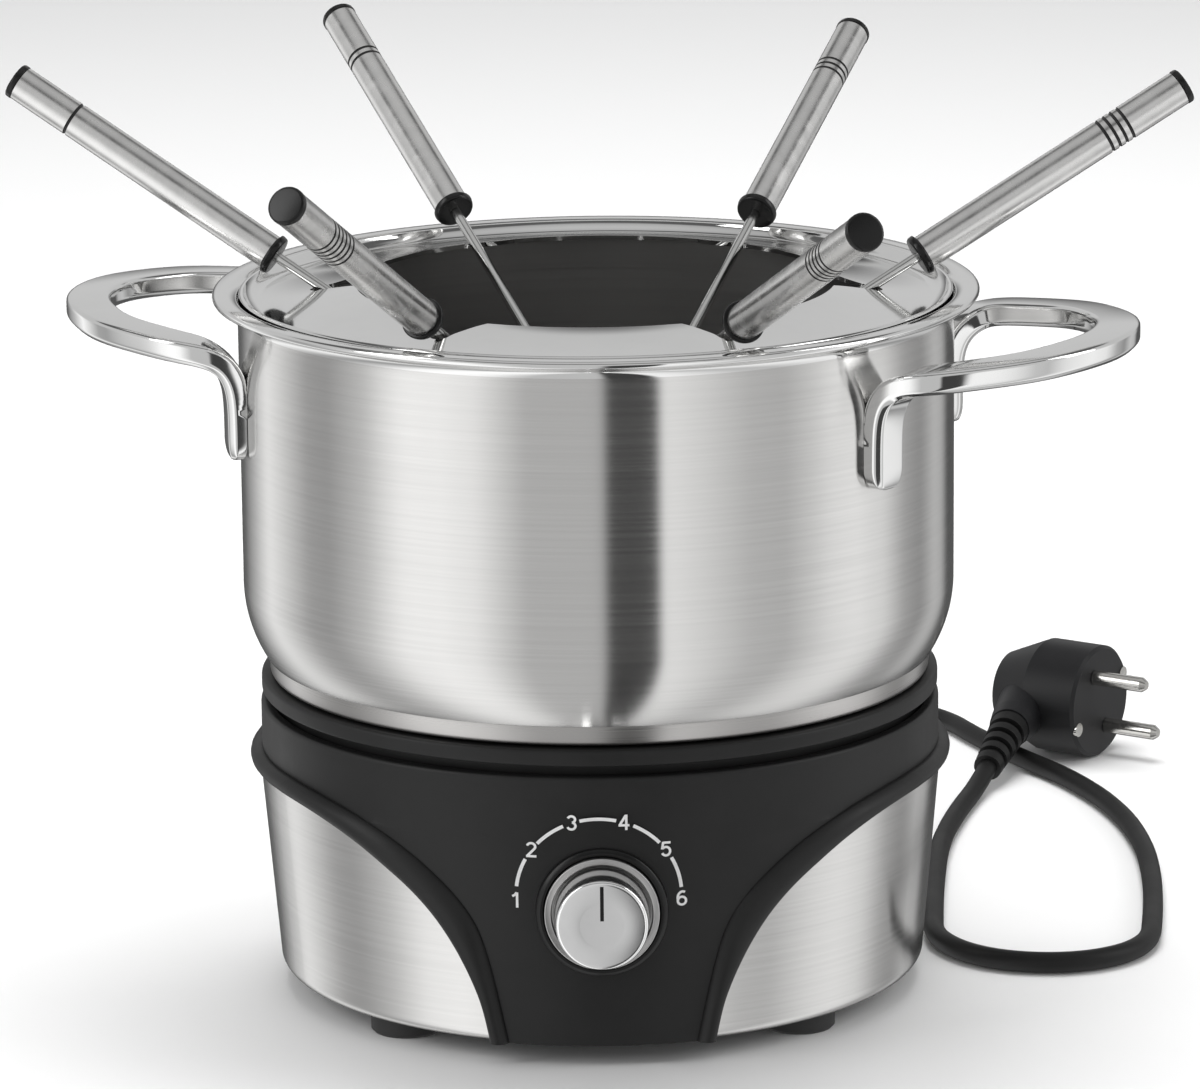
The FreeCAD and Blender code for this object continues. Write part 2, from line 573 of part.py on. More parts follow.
# ---------------------------------------------------------------- fork guide ring
guide = turned([
    (GUIDE_R - 0.6, 198.2), ("arc", (GUIDE_R, 198.8), (GUIDE_R - 0.6, 199.4)),
    (GUIDE_R - 1.2, 199.3), ("arc", (96.6, 197.2), (93.5, 196.6)),
    ("arc", (80.0, 198.0), (GUIDE_BORE_R + 0.6, 200.6)),
    ("arc", (GUIDE_BORE_R, 200.1), (GUIDE_BORE_R + 0.5, 199.4)),
    ("arc", (80.0, 196.8), (93.5, 195.4)), (95.6, 195.4), (95.6, 186.0), (96.8, 186.0),
    (96.8, 195.9), ("arc", (97.6, 197.4), (GUIDE_R - 0.6, 198.2))])
slot = Part.makeBox(SLOT_END_R - SLOT_W / 2 - 50, SLOT_W, 30, V(50, -SLOT_W / 2, 190))
slot = slot.fuse(rod(V(SLOT_END_R - SLOT_W / 2, 0, 190), V(SLOT_END_R - SLOT_W / 2, 0, 220), SLOT_W / 2))
lip = [V(60, -SLOT_MOUTH - 2, 190), V(64.5, -SLOT_MOUTH, 190), V(69.5, -5.2, 190), V(75.8, -1.9, 190)]
lip_curve = Part.BSplineCurve()
lip_curve.interpolate(lip)
far_lip = [V(p.x, -p.y, p.z) for p in reversed(lip)]
far_curve = Part.BSplineCurve()
far_curve.interpolate(far_lip)
mouth = Part.Face(Part.Wire([
    lip_curve.toShape(), Part.LineSegment(lip[-1], far_lip[0]).toShape(), far_curve.toShape(),
    Part.LineSegment(far_lip[-1], lip[0]).toShape()])).extrude(V(0, 0, 30))
cutter = slot.fuse(mouth)
for index in range(6):
    notch = cutter.copy()
    notch.rotate(V(0, 0, 0), UP, GUIDE_TURN + index * 60)
    guide = guide.cut(notch)
save("fork_guide", guide)

# ---------------------------------------------------------------- forks
def fork_frame(slot_azimuth, azimuth, tilt):
    """The slot point, the way to the tines, and the level way across a fork."""
    outwards = polar(1, azimuth, 0)
    across = UP.cross(outwards)
    inwards = outwards * -math.cos(math.radians(tilt)) - UP * math.sin(math.radians(tilt))
    return polar(NOTCH_R, slot_azimuth + GUIDE_TURN, NOTCH_Z), inwards, across


for grooves, slot_azimuth, azimuth, tilt, reach in FORKS:
    point, inwards, across = fork_frame(slot_azimuth, azimuth, tilt)
    top = point - inwards * reach
    tube_top = top + inwards * FORK_CAP_L
    tube_end = tube_top + inwards * FORK_TUBE_L
    collar_end = tube_end + inwards * FORK_COLLAR_L
    tip = top + inwards * FORK_LENGTH
    handle = tube(tube_top, tube_end, FORK_TUBE_R, FORK_TUBE_R - 0.8)
    for index in range(grooves):
        at = top + inwards * (GROOVE_FIRST + index * GROOVE_PITCH)
        handle = handle.cut(tube(at, at + inwards * GROOVE_W, FORK_TUBE_R + 1, FORK_TUBE_R - GROOVE_D))
    save("fork%d_tube" % grooves, handle)
    cap = rod(top, top + inwards * 0.6, FORK_CAP_R - 0.5, FORK_CAP_R)
    cap = cap.fuse(rod(top + inwards * 0.6, tube_top, FORK_CAP_R))
    cap = cap.fuse(rod(tube_top, tube_top + inwards * 8, FORK_TUBE_R - 0.8))
    save("fork%d_cap" % grooves, cap)
    collar_piece = rod(tube_end, collar_end, FORK_COLLAR_R, FORK_COLLAR_R - 0.4)
    collar_piece = collar_piece.fuse(rod(tube_end - inwards * 8, tube_end, FORK_TUBE_R - 0.8))
    collar_piece = collar_piece.cut(rod(tube_end - inwards * 20, collar_end + inwards * 2, FORK_ROD_R))
    save("fork%d_collar" % grooves, collar_piece)
    neck = tip - inwards * TINE_L
    bar = rod(tube_end - inwards * 16, neck, FORK_ROD_R)
    head = Part.makeSphere(FORK_ROD_R, neck)
    bar = bar.fuse(head)
    for sign in (-1, 1):
        knee = neck + inwards * 5 + across * (sign * TINE_SPREAD)
        end = tip + across * (sign * TINE_SPREAD)
        bar = bar.fuse(rod(neck, knee, FORK_ROD_R - 0.3, TINE_R))
        bar = bar.fuse(Part.makeSphere(TINE_R, knee))
        bar = bar.fuse(rod(knee, end, TINE_R, 0.35))
    save("fork%d_rod" % grooves, bar)

print(len(nodes), "nodes")
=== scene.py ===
"""Electric fondue set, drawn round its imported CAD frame. Lengths are in millimetres until a mesh
is made, +Z is up and -Y is the front."""
import bmesh
import bpy
import math
from mathutils import Matrix, Vector


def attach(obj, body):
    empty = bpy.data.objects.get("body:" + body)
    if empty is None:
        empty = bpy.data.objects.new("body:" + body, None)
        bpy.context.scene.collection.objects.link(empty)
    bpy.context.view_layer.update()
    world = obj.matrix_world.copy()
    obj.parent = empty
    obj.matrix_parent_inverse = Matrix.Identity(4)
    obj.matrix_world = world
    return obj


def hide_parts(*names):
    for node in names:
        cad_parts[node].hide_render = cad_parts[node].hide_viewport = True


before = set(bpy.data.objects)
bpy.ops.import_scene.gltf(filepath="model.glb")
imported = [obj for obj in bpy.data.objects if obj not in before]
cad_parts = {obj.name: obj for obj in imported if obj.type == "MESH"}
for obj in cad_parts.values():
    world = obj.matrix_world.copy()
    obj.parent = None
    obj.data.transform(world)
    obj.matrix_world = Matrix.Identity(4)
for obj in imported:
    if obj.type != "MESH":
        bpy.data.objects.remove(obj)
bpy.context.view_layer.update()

MM = 0.001

# ---------------------------------------------------------------- camera
CAMERA_AT = (0.0, -1.7672, 0.5443)
CAMERA_PITCH = 76.647
CAMERA_ROLL = -0.575

camera_data = bpy.data.cameras.new("camera")
camera_data.lens = 193.37
camera_data.sensor_width = 36.0
camera_data.shift_x = 0.0014
camera_data.clip_start = 0.05
camera_data.clip_end = 60.0
camera = bpy.data.objects.new("camera", camera_data)
bpy.context.scene.collection.objects.link(camera)
camera.matrix_world = (
    Matrix.Translation(CAMERA_AT)
    @ Matrix.Rotation(math.radians(CAMERA_PITCH), 4, "X")
    @ Matrix.Rotation(math.radians(CAMERA_ROLL), 4, "Z")
)
bpy.context.scene.camera = camera
bpy.context.scene.view_settings.view_transform = "Standard"

# ---------------------------------------------------------------- driving dimensions, from the CAD
SHELL_WALL = 0.9
SHELL_LOW_R = 91.2
SHELL_TOP_R = 96.3
SHELL_LOW_Z = 6.0
SHELL_TOP_Z = 64.8
FOOT_ROLL_R = 3.2
TURN_IN_R = 86.0
COLLAR_R = 95.8
COLLAR_BORE_R = 92.8
PANEL_INSET = 0.25
PANEL_WALL = 2.4
COLLAR_TOP_Z = 83.0
COLLAR_LOW_Z = 64.9
BEAD_TOP_Z = 69.7
POT_TURN = -14.5
HANDLE_W = 12.5
HANDLE_T = 6.6
HANDLE_TIP_Z = 193.6
HANDLE_RISE = 5.2
TAB_AZ = 26.0
TAB_LOW_Z = 155.3
TAB_AXIS_R = 101.6
POT_WALL_R = 100.05
SHOULDER_R = 114.6
LOOP_POINTS = [(131.0, 37.5), (147.0, 13.5)]
LOOP_RADII = [10.0, 6.4, 24.0, 38.0]
DIAL_Z = 45.5
GUIDE_TURN = -2.9
GUIDE_BORE_R = 67.0
GUIDE_FLAT_R = 93.5
NOTCH_R = 76.0
NOTCH_Z = 198.2

# grooves, slot direction, fork direction, tilt in degrees, slot to end of cap in mm
FORKS = [
    (1, 180.0, 165.24, 32.12, 106.0),
    (2, 120.0, 117.89, 31.81, 104.8),
    (3, 60.0, 66.61, 27.79, 104.8),
    (4, 0.0, 13.22, 30.05, 106.2),
    (5, -60.0, -68.28, 25.57, 102.6),
    (6, -120.0, -115.12, 29.8, 102.5),
]

# each arch is (degrees from the front, height) up one side
ARCH_OUTER = [(19.6, 6.0), (21.2, 18.0), (24.4, 30.0), (28.4, 40.0), (33.0, 47.5), (38.5, 53.5),
              (44.5, 58.5), (51.0, 62.0), (58.0, 64.0), (66.0, 64.8)]
ARCH_INNER = [(16.4, 6.0), (17.8, 18.0), (19.4, 30.0), (21.2, 39.0), (24.2, 46.3), (28.2, 52.6),
              (33.0, 58.2), (38.6, 62.8), (45.5, 66.4), (54.0, 68.7), (63.0, 69.7)]

CORD_ROUTE = [
    (0.0361, 0.1110, 0.0240), (0.0423, 0.1301, 0.0240), (0.0415, 0.1530, 0.0145),
    (0.0320, 0.1800, 0.0031), (0.0130, 0.2050, 0.0031), (-0.0010, 0.2320, 0.0031),
    (0.0050, 0.2620, 0.0031), (0.0310, 0.2800, 0.0031), (0.0640, 0.2855, 0.0031),
    (0.0950, 0.2810, 0.0031), (0.1130, 0.2620, 0.0031), (0.1210, 0.2400, 0.0031),
    (0.1330, 0.2145, 0.0031), (0.1475, 0.1890, 0.0031), (0.1595, 0.1540, 0.0031),
    (0.1645, 0.1150, 0.0031), (0.1640, 0.0770, 0.0031), (0.1610, 0.0390, 0.0031),
    (0.1570, 0.0060, 0.0031), (0.1364, -0.0098, 0.0031), (0.1107, -0.0060, 0.0031),
    (0.0956, 0.0152, 0.0031), (0.0970, 0.0440, 0.0031), (0.0995, 0.0800, 0.0031),
    (0.1030, 0.1180, 0.0031), (0.1104, 0.1525, 0.0031), (0.1173, 0.1768, 0.0031),
    (0.1217, 0.1892, 0.0065),
]


# ---------------------------------------------------------------- materials
class Paint:
    """A small helper that builds one node material."""

    def __init__(self, name, color, metallic=0.0, roughness=0.5):
        self.material = bpy.data.materials.new(name)
        self.material.use_nodes = True
        self.nodes = self.material.node_tree.nodes
        self.links = self.material.node_tree.links
        self.shader = self.nodes["Principled BSDF"]
        self.put("Base Color", (*color, 1.0))
        self.put("Metallic", metallic)
        self.put("Roughness", roughness)
        if metallic == 0.0:
            self.put("Specular IOR Level", 0.3)

    def put(self, socket, value):
        self.shader.inputs[socket].default_value = value

    def add(self, kind, **settings):
        node = self.nodes.new(kind)
        for key, value in settings.items():
            setattr(node, key, value)
        return node

    def join(self, output, target):
        self.links.new(output, target)

    def place(self, scale):
        """Object coordinates stretched by a scale."""
        coords = self.add("ShaderNodeTexCoord")
        mapping = self.add("ShaderNodeMapping")
        mapping.inputs["Scale"].default_value = scale
        self.join(coords.outputs["Object"], mapping.inputs["Vector"])
        return mapping.outputs["Vector"]

    def noise(self, scale, detail=3.0, stretch=(1, 1, 1), roughness=0.6):
        node = self.add("ShaderNodeTexNoise")
        node.inputs["Scale"].default_value = scale
        node.inputs["Detail"].default_value = detail
        node.inputs["Roughness"].default_value = roughness
        self.join(self.place(stretch), node.inputs["Vector"])
        return node.outputs["Fac"]

    def between(self, value, low, high, start=0.3, end=0.7):
        """Map a 0..1 value to a range of numbers."""
        node = self.add("ShaderNodeMapRange")
        node.inputs["From Min"].default_value = start
        node.inputs["From Max"].default_value = end
        node.inputs["To Min"].default_value = low
        node.inputs["To Max"].default_value = high
        self.join(value, node.inputs["Value"])
        return node.outputs["Result"]

    def tint(self, value, dark, light, start=0.3, end=0.7):
        """Map a 0..1 value to a colour between two."""
        node = self.add("ShaderNodeValToRGB")
        ramp = node.color_ramp
        ramp.elements[0].position = start
        ramp.elements[1].position = end
        ramp.elements[0].color = (*dark, 1.0)
        ramp.elements[1].color = (*light, 1.0)
        self.join(value, node.inputs["Fac"])
        return node.outputs["Color"]

    def vary_roughness(self, value, low, high, start=0.3, end=0.7):
        self.join(self.between(value, low, high, start, end), self.shader.inputs["Roughness"])

    def vary_color(self, value, dark, light, start=0.3, end=0.7):
        self.join(self.tint(value, dark, light, start, end), self.shader.inputs["Base Color"])

    def bump(self, value, strength, distance):
        node = self.add("ShaderNodeBump")
        node.inputs["Strength"].default_value = strength
        node.inputs["Distance"].default_value = distance
        self.join(value, node.inputs["Height"])
        self.join(node.outputs["Normal"], self.shader.inputs["Normal"])


def brushed(name, color, roughness, stretch, streak, anisotropy=0.75):
    """Metal with fine lines. stretch is small along the lines and large across them."""
    paint = Paint(name, color, metallic=1.0, roughness=roughness)
    lines = paint.noise(1.0, detail=4.0, stretch=stretch, roughness=0.75)
    paint.vary_roughness(lines, roughness - streak, roughness + streak)
    dark = [channel * 0.95 for channel in color]
    light = [min(1.0, channel * 1.03) for channel in color]
    paint.vary_color(lines, dark, light)
    paint.bump(lines, 0.03, 0.00003)
    paint.put("Anisotropic", anisotropy)
    paint.put("Anisotropic Rotation", 0.25)
    tangent = paint.add("ShaderNodeTangent", direction_type="RADIAL", axis="Z")
    paint.join(tangent.outputs["Tangent"], paint.shader.inputs["Tangent"])
    return paint.material


def polished(name, color, roughness):
    """Mirror steel with faint wipe marks."""
    paint = Paint(name, color, metallic=1.0, roughness=roughness)
    marks = paint.noise(60.0, detail=5.0)
    paint.vary_roughness(marks, roughness * 0.7, roughness * 1.4)
    paint.vary_color(marks, [c * 0.96 for c in color], color)
    return paint.material


def moulded(name, color, roughness, grain=900.0, depth=0.00005, sheen=1.25):
    """Black plastic with a fine moulded grain; the painted shade in the fork grooves is made with it too."""
    paint = Paint(name, color, roughness=roughness)
    fine = paint.noise(grain, detail=2.0)
    paint.bump(fine, 0.25, depth)
    broad = paint.noise(45.0, detail=3.0)
    paint.vary_roughness(broad, roughness * 0.92, roughness * 1.1)
    paint.vary_color(broad, [c * 0.85 for c in color], [c * sheen for c in color])
    return paint.material


def plain_metal(name, color, roughness, grain=300.0):
    """Small hardware with a slightly mottled plating."""
    paint = Paint(name, color, metallic=1.0, roughness=roughness)
    mottle = paint.noise(grain, detail=4.0)
    paint.vary_roughness(mottle, roughness * 0.8, roughness * 1.25)
    paint.vary_color(mottle, [c * 0.85 for c in color], color)
    return paint.material


POT_STEEL = brushed("pot_brushed", (0.66, 0.655, 0.645), 0.19, (5, 5, 1150), 0.02, 0.97)
DRUM_STEEL = brushed("drum_brushed", (0.66, 0.655, 0.645), 0.20, (5, 5, 1250), 0.02, 0.96)
DISC_STEEL = brushed("disc_turned", (0.50, 0.49, 0.48), 0.30, (4, 4, 2400), 0.05)
INNER_STEEL = brushed("inner_brushed", (0.34, 0.335, 0.33), 0.36, (5, 5, 1100), 0.04, 0.3)
FORK_STEEL = plain_metal("fork_satin", (0.80, 0.795, 0.785), 0.25, 160.0)
BEZEL_STEEL = plain_metal("bezel_satin", (0.60, 0.595, 0.59), 0.36, 60.0)
KNOB_STEEL = plain_metal("knob_satin", (0.98, 0.98, 0.98), 0.13, 60.0)
MIRROR = polished("mirror_steel", (0.80, 0.80, 0.795), 0.07)
ROD_STEEL = polished("rod_steel", (0.68, 0.68, 0.67), 0.16)
PLASTIC = moulded("black_plastic", (0.011, 0.011, 0.011), 0.46)
SEAT_BLACK = moulded("seat_plastic", (0.008, 0.008, 0.008), 0.30)
BASE_BLACK = moulded("base_plastic", (0.028, 0.028, 0.028), 0.55)
# painted shade: the faces inside the steel grips' grooves get this near-black colour for the shade that falls
# in them
GROOVE_PAINTED_SHADE = moulded("groove_shade", (0.02, 0.02, 0.02), 0.50, grain=500.0)
CAP_BLACK = moulded("cap_plastic", (0.008, 0.008, 0.008), 0.22, grain=500.0)
PLUG_BLACK = moulded("plug_plastic", (0.011, 0.011, 0.012), 0.44, grain=1200.0)
CORD_BLACK = moulded("cord_sheath", (0.008, 0.008, 0.008), 0.50, grain=1400.0)
FOOT_BLACK = moulded("foot_rubber", (0.035, 0.035, 0.035), 0.70, grain=700.0)
PLATE_BLACK = moulded("plate_coating", (0.030, 0.030, 0.030), 0.50, grain=1500.0, depth=0.0001)
ZINC = plain_metal("zinc", (0.58, 0.58, 0.56), 0.35)
NICKEL = plain_metal("nickel", (0.74, 0.73, 0.70), 0.20)
COPPER = plain_metal("copper", (0.66, 0.36, 0.22), 0.30)
ELEMENT = plain_metal("heat_tinted", (0.32, 0.28, 0.24), 0.45)
INNER_WHITE = moulded("nylon", (0.72, 0.71, 0.66), 0.50, sheen=1.05)
SLEEVE = moulded("glass_sleeve", (0.55, 0.53, 0.45), 0.80, grain=2500.0, depth=0.0002)
WHITE_INK = moulded("white_ink", (0.86, 0.86, 0.86), 0.50, sheen=1.02)


# ---------------------------------------------------------------- mesh helpers
def piece(name, verts, faces, material, body, sharp=35.0):
    """A mesh from millimetre points, which rides on a body."""
    mesh = bpy.data.meshes.new(name)
    mesh.from_pydata([tuple(c * MM for c in v) for v in verts], [], faces)
    mesh.validate()
    mesh.update()
    mesh.polygons.foreach_set("use_smooth", [True] * len(mesh.polygons))
    mesh.set_sharp_from_angle(angle=math.radians(sharp))
    mesh.materials.append(material)
    obj = bpy.data.objects.new(name, mesh)
    bpy.context.scene.collection.objects.link(obj)
    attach(obj, body)
    return obj


def arc(centre, radius, start, end, steps):
    """Points of an arc in the (radius, height) plane, angles in degrees."""
    points = []
    for step in range(steps + 1):
        angle = math.radians(start + (end - start) * step / steps)
        points.append((centre[0] + radius * math.cos(angle), centre[1] + radius * math.sin(angle)))
    return points


def through(start, middle, end, steps=10):
    """Points of the arc through three points in the (radius, height) plane."""
    (ax, ay), (bx, by), (cx, cy) = start, middle, end
    d = 2 * (ax * (by - cy) + bx * (cy - ay) + cx * (ay - by))
    ux = ((ax**2 + ay**2) * (by - cy) + (bx**2 + by**2) * (cy - ay) + (cx**2 + cy**2) * (ay - by)) / d
    uy = ((ax**2 + ay**2) * (cx - bx) + (bx**2 + by**2) * (ax - cx) + (cx**2 + cy**2) * (bx - ax)) / d
    radius = math.hypot(ax - ux, ay - uy)
    first = math.atan2(ay - uy, ax - ux)
    mid = math.atan2(by - uy, bx - ux)
    last = math.atan2(cy - uy, cx - ux)
    while abs(mid - first) > math.pi:
        mid += math.copysign(2 * math.pi, first - mid)
    while abs(last - mid) > math.pi:
        last += math.copysign(2 * math.pi, mid - last)
    points = []
    for step in range(steps + 1):
        angle = first + (last - first) * step / steps
        points.append((ux + radius * math.cos(angle), uy + radius * math.sin(angle)))
    return points


def softened(corners, steps=4):
    """A closed outline of (r, z, fillet) corners with each corner rounded."""
    points = []
    count = len(corners)
    for index, (r, z, fillet) in enumerate(corners):
        if fillet <= 0:
            points.append((r, z))
            continue
        before = Vector(corners[index - 1][:2]) - Vector((r, z))
        after = Vector(corners[(index + 1) % count][:2]) - Vector((r, z))
        into = before.normalized()
        out = after.normalized()
        turn = math.pi - into.angle(out)
        trim = min(fillet * math.tan(turn / 2), before.length * 0.49, after.length * 0.49)
        start = Vector((r, z)) + into * trim
        end = Vector((r, z)) + out * trim
        for step in range(steps + 1):
            t = step / steps
            bend = start * (1 - t) ** 2 + Vector((r, z)) * 2 * t * (1 - t) + end * t**2
            points.append((bend.x, bend.y))
    return points


def lathe(name, outline, material, body, segments=192, place=None, sharp=35.0):
    """Turn a closed (r, z) outline about the Z axis, or about the axis that a matrix gives."""
    verts = []
    faces = []
    count = len(outline)
    for s in range(segments):
        angle = 2 * math.pi * s / segments
        for r, z in outline:
            point = Vector((max(r, 0.0) * math.cos(angle), max(r, 0.0) * math.sin(angle), z))
            verts.append(place @ point if place else point)
    for s in range(segments):
        here = s * count
        there = (s + 1) % segments * count
        for a in range(count):
            b = (a + 1) % count
            if outline[a][0] <= 1e-6 and outline[b][0] <= 1e-6:
                continue
            if outline[a][0] <= 1e-6:
                faces.append((here + a, there + b, here + b))
            elif outline[b][0] <= 1e-6:
                faces.append((here + a, there + a, here + b))
            else:
                faces.append((here + a, there + a, there + b, here + b))
    obj = piece(name, verts, faces, material, body, sharp)
    weld(obj)
    return obj


def weld(obj):
    """Join points in the same place and point the faces outwards."""
    mesh = bmesh.new()
    mesh.from_mesh(obj.data)
    bmesh.ops.remove_doubles(mesh, verts=mesh.verts, dist=1e-7)
    bmesh.ops.recalc_face_normals(mesh, faces=mesh.faces)
    mesh.to_mesh(obj.data)
    mesh.free()


def loft(name, columns, material, body, ring=False, sharp=35.0):
    """Skin a row of equal outlines of 3-D points, capped at the ends unless it is a ring."""
    count = len(columns[0])
    verts = [point for column in columns for point in column]
    faces = []
    last = len(columns) if ring else len(columns) - 1
    for s in range(last):
        here = s * count
        there = (s + 1) % len(columns) * count
        for k in range(count):
            n = (k + 1) % count
            faces.append((here + k, here + n, there + n, there + k))
    if not ring:
        faces.append(tuple(range(count)))
        faces.append(tuple(reversed(range((len(columns) - 1) * count, len(columns) * count))))
    obj = piece(name, verts, faces, material, body, sharp)
    weld(obj)
    return obj


def polar(radius, azimuth, z):
    angle = math.radians(azimuth)
    return Vector((radius * math.cos(angle), radius * math.sin(angle), z))


def along(origin, direction, side):
    """A matrix that puts local +Z along a direction."""
    z = direction.normalized()
    y = z.cross(side).normalized()
    x = y.cross(z)
    return Matrix.Translation(origin) @ Matrix((x, y, z)).transposed().to_4x4()


def shell_r(z):
    share = (z - SHELL_LOW_Z) / (SHELL_TOP_Z - SHELL_LOW_Z)
    return SHELL_LOW_R + share * (SHELL_TOP_R - SHELL_LOW_R)


def smooth_curve(points, steps):
    """Catmull-Rom points through a list of pairs."""
    result = []
    for index in range(len(points) - 1):
        p0 = Vector(points[max(index - 1, 0)])
        p1 = Vector(points[index])
        p2 = Vector(points[index + 1])
        p3 = Vector(points[min(index + 2, len(points) - 1)])
        for step in range(steps):
            t = step / steps
            result.append(
                0.5 * ((2 * p1) + (p2 - p0) * t + (2 * p0 - 5 * p1 + 4 * p2 - p3) * t**2
                       + (3 * p1 - p0 - 3 * p2 + p3) * t**3))
    result.append(Vector(points[-1]))
    return result


def dress(node, material):
    """Give a CAD node a better material."""
    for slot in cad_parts[node].material_slots:
        slot.material = material


# ---------------------------------------------------------------- lead
cord_curve = bpy.data.curves.new("lead", "CURVE")
cord_curve.dimensions = "3D"
cord_curve.resolution_u = 16
cord_curve.bevel_depth = 0.0030
cord_curve.bevel_resolution = 6
cord_curve.use_fill_caps = True
cord_line = cord_curve.splines.new("NURBS")
cord_line.points.add(len(CORD_ROUTE) - 1)
for control, place in zip(cord_line.points, CORD_ROUTE):
    control.co = (*place, 1.0)
cord_line.order_u = 3
cord_line.use_endpoint_u = True
cord_curve.materials.append(CORD_BLACK)
lead = bpy.data.objects.new("lead", cord_curve)
bpy.context.scene.collection.objects.link(lead)
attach(lead, "base")
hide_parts("power_cord")

# ---------------------------------------------------------------- drum
OUTER_CURVE = smooth_curve(ARCH_OUTER, 8)
INNER_CURVE = smooth_curve(ARCH_INNER, 8)


def height_on(curve, azimuth, beyond):
    """Height of an arch at an angle from the front."""
    if azimuth >= curve[-1].x:
        return beyond
    for a, b in zip(curve[:-1], curve[1:]):
        if a.x <= azimuth <= b.x:
            return a.y + (b.y - a.y) * (azimuth - a.x) / (b.x - a.x)
    return curve[0].y


def front(azimuth, radius, z):
    """A point given by its angle from the front, positive to the right."""
    return polar(radius, azimuth - 90.0, z)


def folded(azimuth):
    """The angle from the front of the mirror image on the right."""
    return min(azimuth, 360.0 - azimuth)


def make_drum():
    """The steel wall, open at the front between the arches, with a rolled foot."""
    angles = [p.x for p in OUTER_CURVE] + [70 + 2.5 * k for k in range(45)]
    foot = arc((SHELL_LOW_R - 2.9, SHELL_LOW_Z + FOOT_ROLL_R), FOOT_ROLL_R, -90, 3, 8)
    low = foot[-1][1]
    rows = 10
    columns = []
    for azimuth in angles + [360.0 - a for a in reversed(angles[:-1])]:
        top = max(height_on(OUTER_CURVE, folded(azimuth), SHELL_TOP_Z), SHELL_LOW_Z + 3.6)
        outside = [(TURN_IN_R, SHELL_LOW_Z + 0.1)] + foot
        for k in range(1, rows + 1):
            z = low + (top - low) * k / rows
            outside.append((shell_r(z), z))
        inside = [(shell_r(top) - SHELL_WALL, top), (SHELL_LOW_R - 0.8, SHELL_LOW_Z + 3.4),
                  (SHELL_LOW_R - 2.0, SHELL_LOW_Z + 1.4), (TURN_IN_R, SHELL_LOW_Z + 1.0)]
        columns.append([front(azimuth, r, z) for r, z in outside + inside])
    drum = loft("drum_wall", columns, DRUM_STEEL, "base")
    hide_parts("drum_shell")


def make_panel():
    """The black moulding: the collar all round, and the panel between the arches."""
    angles = {k * 1.5 for k in range(11)} | {p.x for p in INNER_CURVE} | {66 + 3.0 * k for k in range(39)}
    angles = sorted(angles)
    collar = softened([(COLLAR_R, 78.0, 0), (COLLAR_R, COLLAR_TOP_Z, 1.3),
                       (COLLAR_BORE_R, COLLAR_TOP_Z, 0.4), (COLLAR_BORE_R, 78.0, 0)])
    rows = 12
    columns = []
    for azimuth in angles + [360.0 - a for a in reversed(angles[1:-1])]:
        low = SHELL_LOW_Z
        if folded(azimuth) > ARCH_INNER[0][0]:
            low = height_on(INNER_CURVE, folded(azimuth), COLLAR_LOW_Z) - 1.2
        low = min(max(low, SHELL_LOW_Z), COLLAR_LOW_Z)
        outside = []
        for k in range(rows):
            z = low + (COLLAR_LOW_Z - low) * k / rows
            outside.append((shell_r(z) - PANEL_INSET, z))
        outside.append((COLLAR_R + 0.1, COLLAR_LOW_Z))
        outside += [(COLLAR_R, z) for z in (67.0, 70.0, 74.0)]
        inside = [(COLLAR_BORE_R, 70.0)]
        for z in (COLLAR_LOW_Z, (low + COLLAR_LOW_Z) / 2, low):
            inside.append((min(COLLAR_BORE_R, shell_r(z) - PANEL_INSET - PANEL_WALL), z))
        columns.append([front(azimuth, r, z) for r, z in outside + collar + inside])
    panel = loft("front_panel", columns, PLASTIC, "base", ring=True)
    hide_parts("fascia")


# share of the way across the bead, and how far it stands proud there
BEAD_SHAPE = [(0.0, 0.05), (0.03, 1.1), (0.12, 2.0), (0.28, 2.5), (0.45, 2.6), (0.62, 2.35),
              (0.78, 1.7), (0.90, 0.9), (0.97, 0.3), (1.0, -0.25)]


def share_along(curve, share):
    """The point at a share of a curve's points."""
    at = share * (len(curve) - 1)
    index = min(int(at), len(curve) - 2)
    return curve[index].lerp(curve[index + 1], at - index)


def make_bead():
    """The raised bead between the steel and the moulding, up both arches and round the back."""
    samples = 90
    stations = []
    for k in range(samples):
        share = k / (samples - 1)
        stations.append((share_along(OUTER_CURVE, share), share_along(INNER_CURVE, share)))
    for k in range(1, 51):
        azimuth = 66.0 + (180.0 - 66.0) * k / 50
        stations.append((Vector((azimuth, SHELL_TOP_Z)), Vector((azimuth, BEAD_TOP_Z))))
    for low, high in reversed(stations[:-1]):
        stations.append((Vector((360.0 - low.x, low.y)), Vector((360.0 - high.x, high.y))))
    columns = []
    for low, high in stations:
        column = []
        for share, proud in BEAD_SHAPE:
            spot = low.lerp(high, share)
            column.append(front(spot.x, shell_r(spot.y) + proud, spot.y))
        for spot in (high, low):
            column.append(front(spot.x, shell_r(spot.y) - SHELL_WALL, spot.y))
        columns.append(column)
    bead = loft("arch_trim", columns, PLASTIC, "base")
    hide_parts("arch_bead")


def make_plate_ring():
    """The black ring round the hotplate."""
    outline = softened([(87.7, 66.4, 0), (91.4, 66.4, 0), (91.4, 86.0, 0.3), (95.5, 86.0, 0.7),
                        (95.5, 90.5, 1.2), (89.4, 90.5, 0.3), (88.6, 90.0, 0.2), (87.7, 90.0, 0.2)])
    plate_ring = lathe("plate_ring", outline, PLASTIC, "base")
    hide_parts("hotplate_ring")


make_drum()
make_panel()
make_bead()
make_plate_ring()

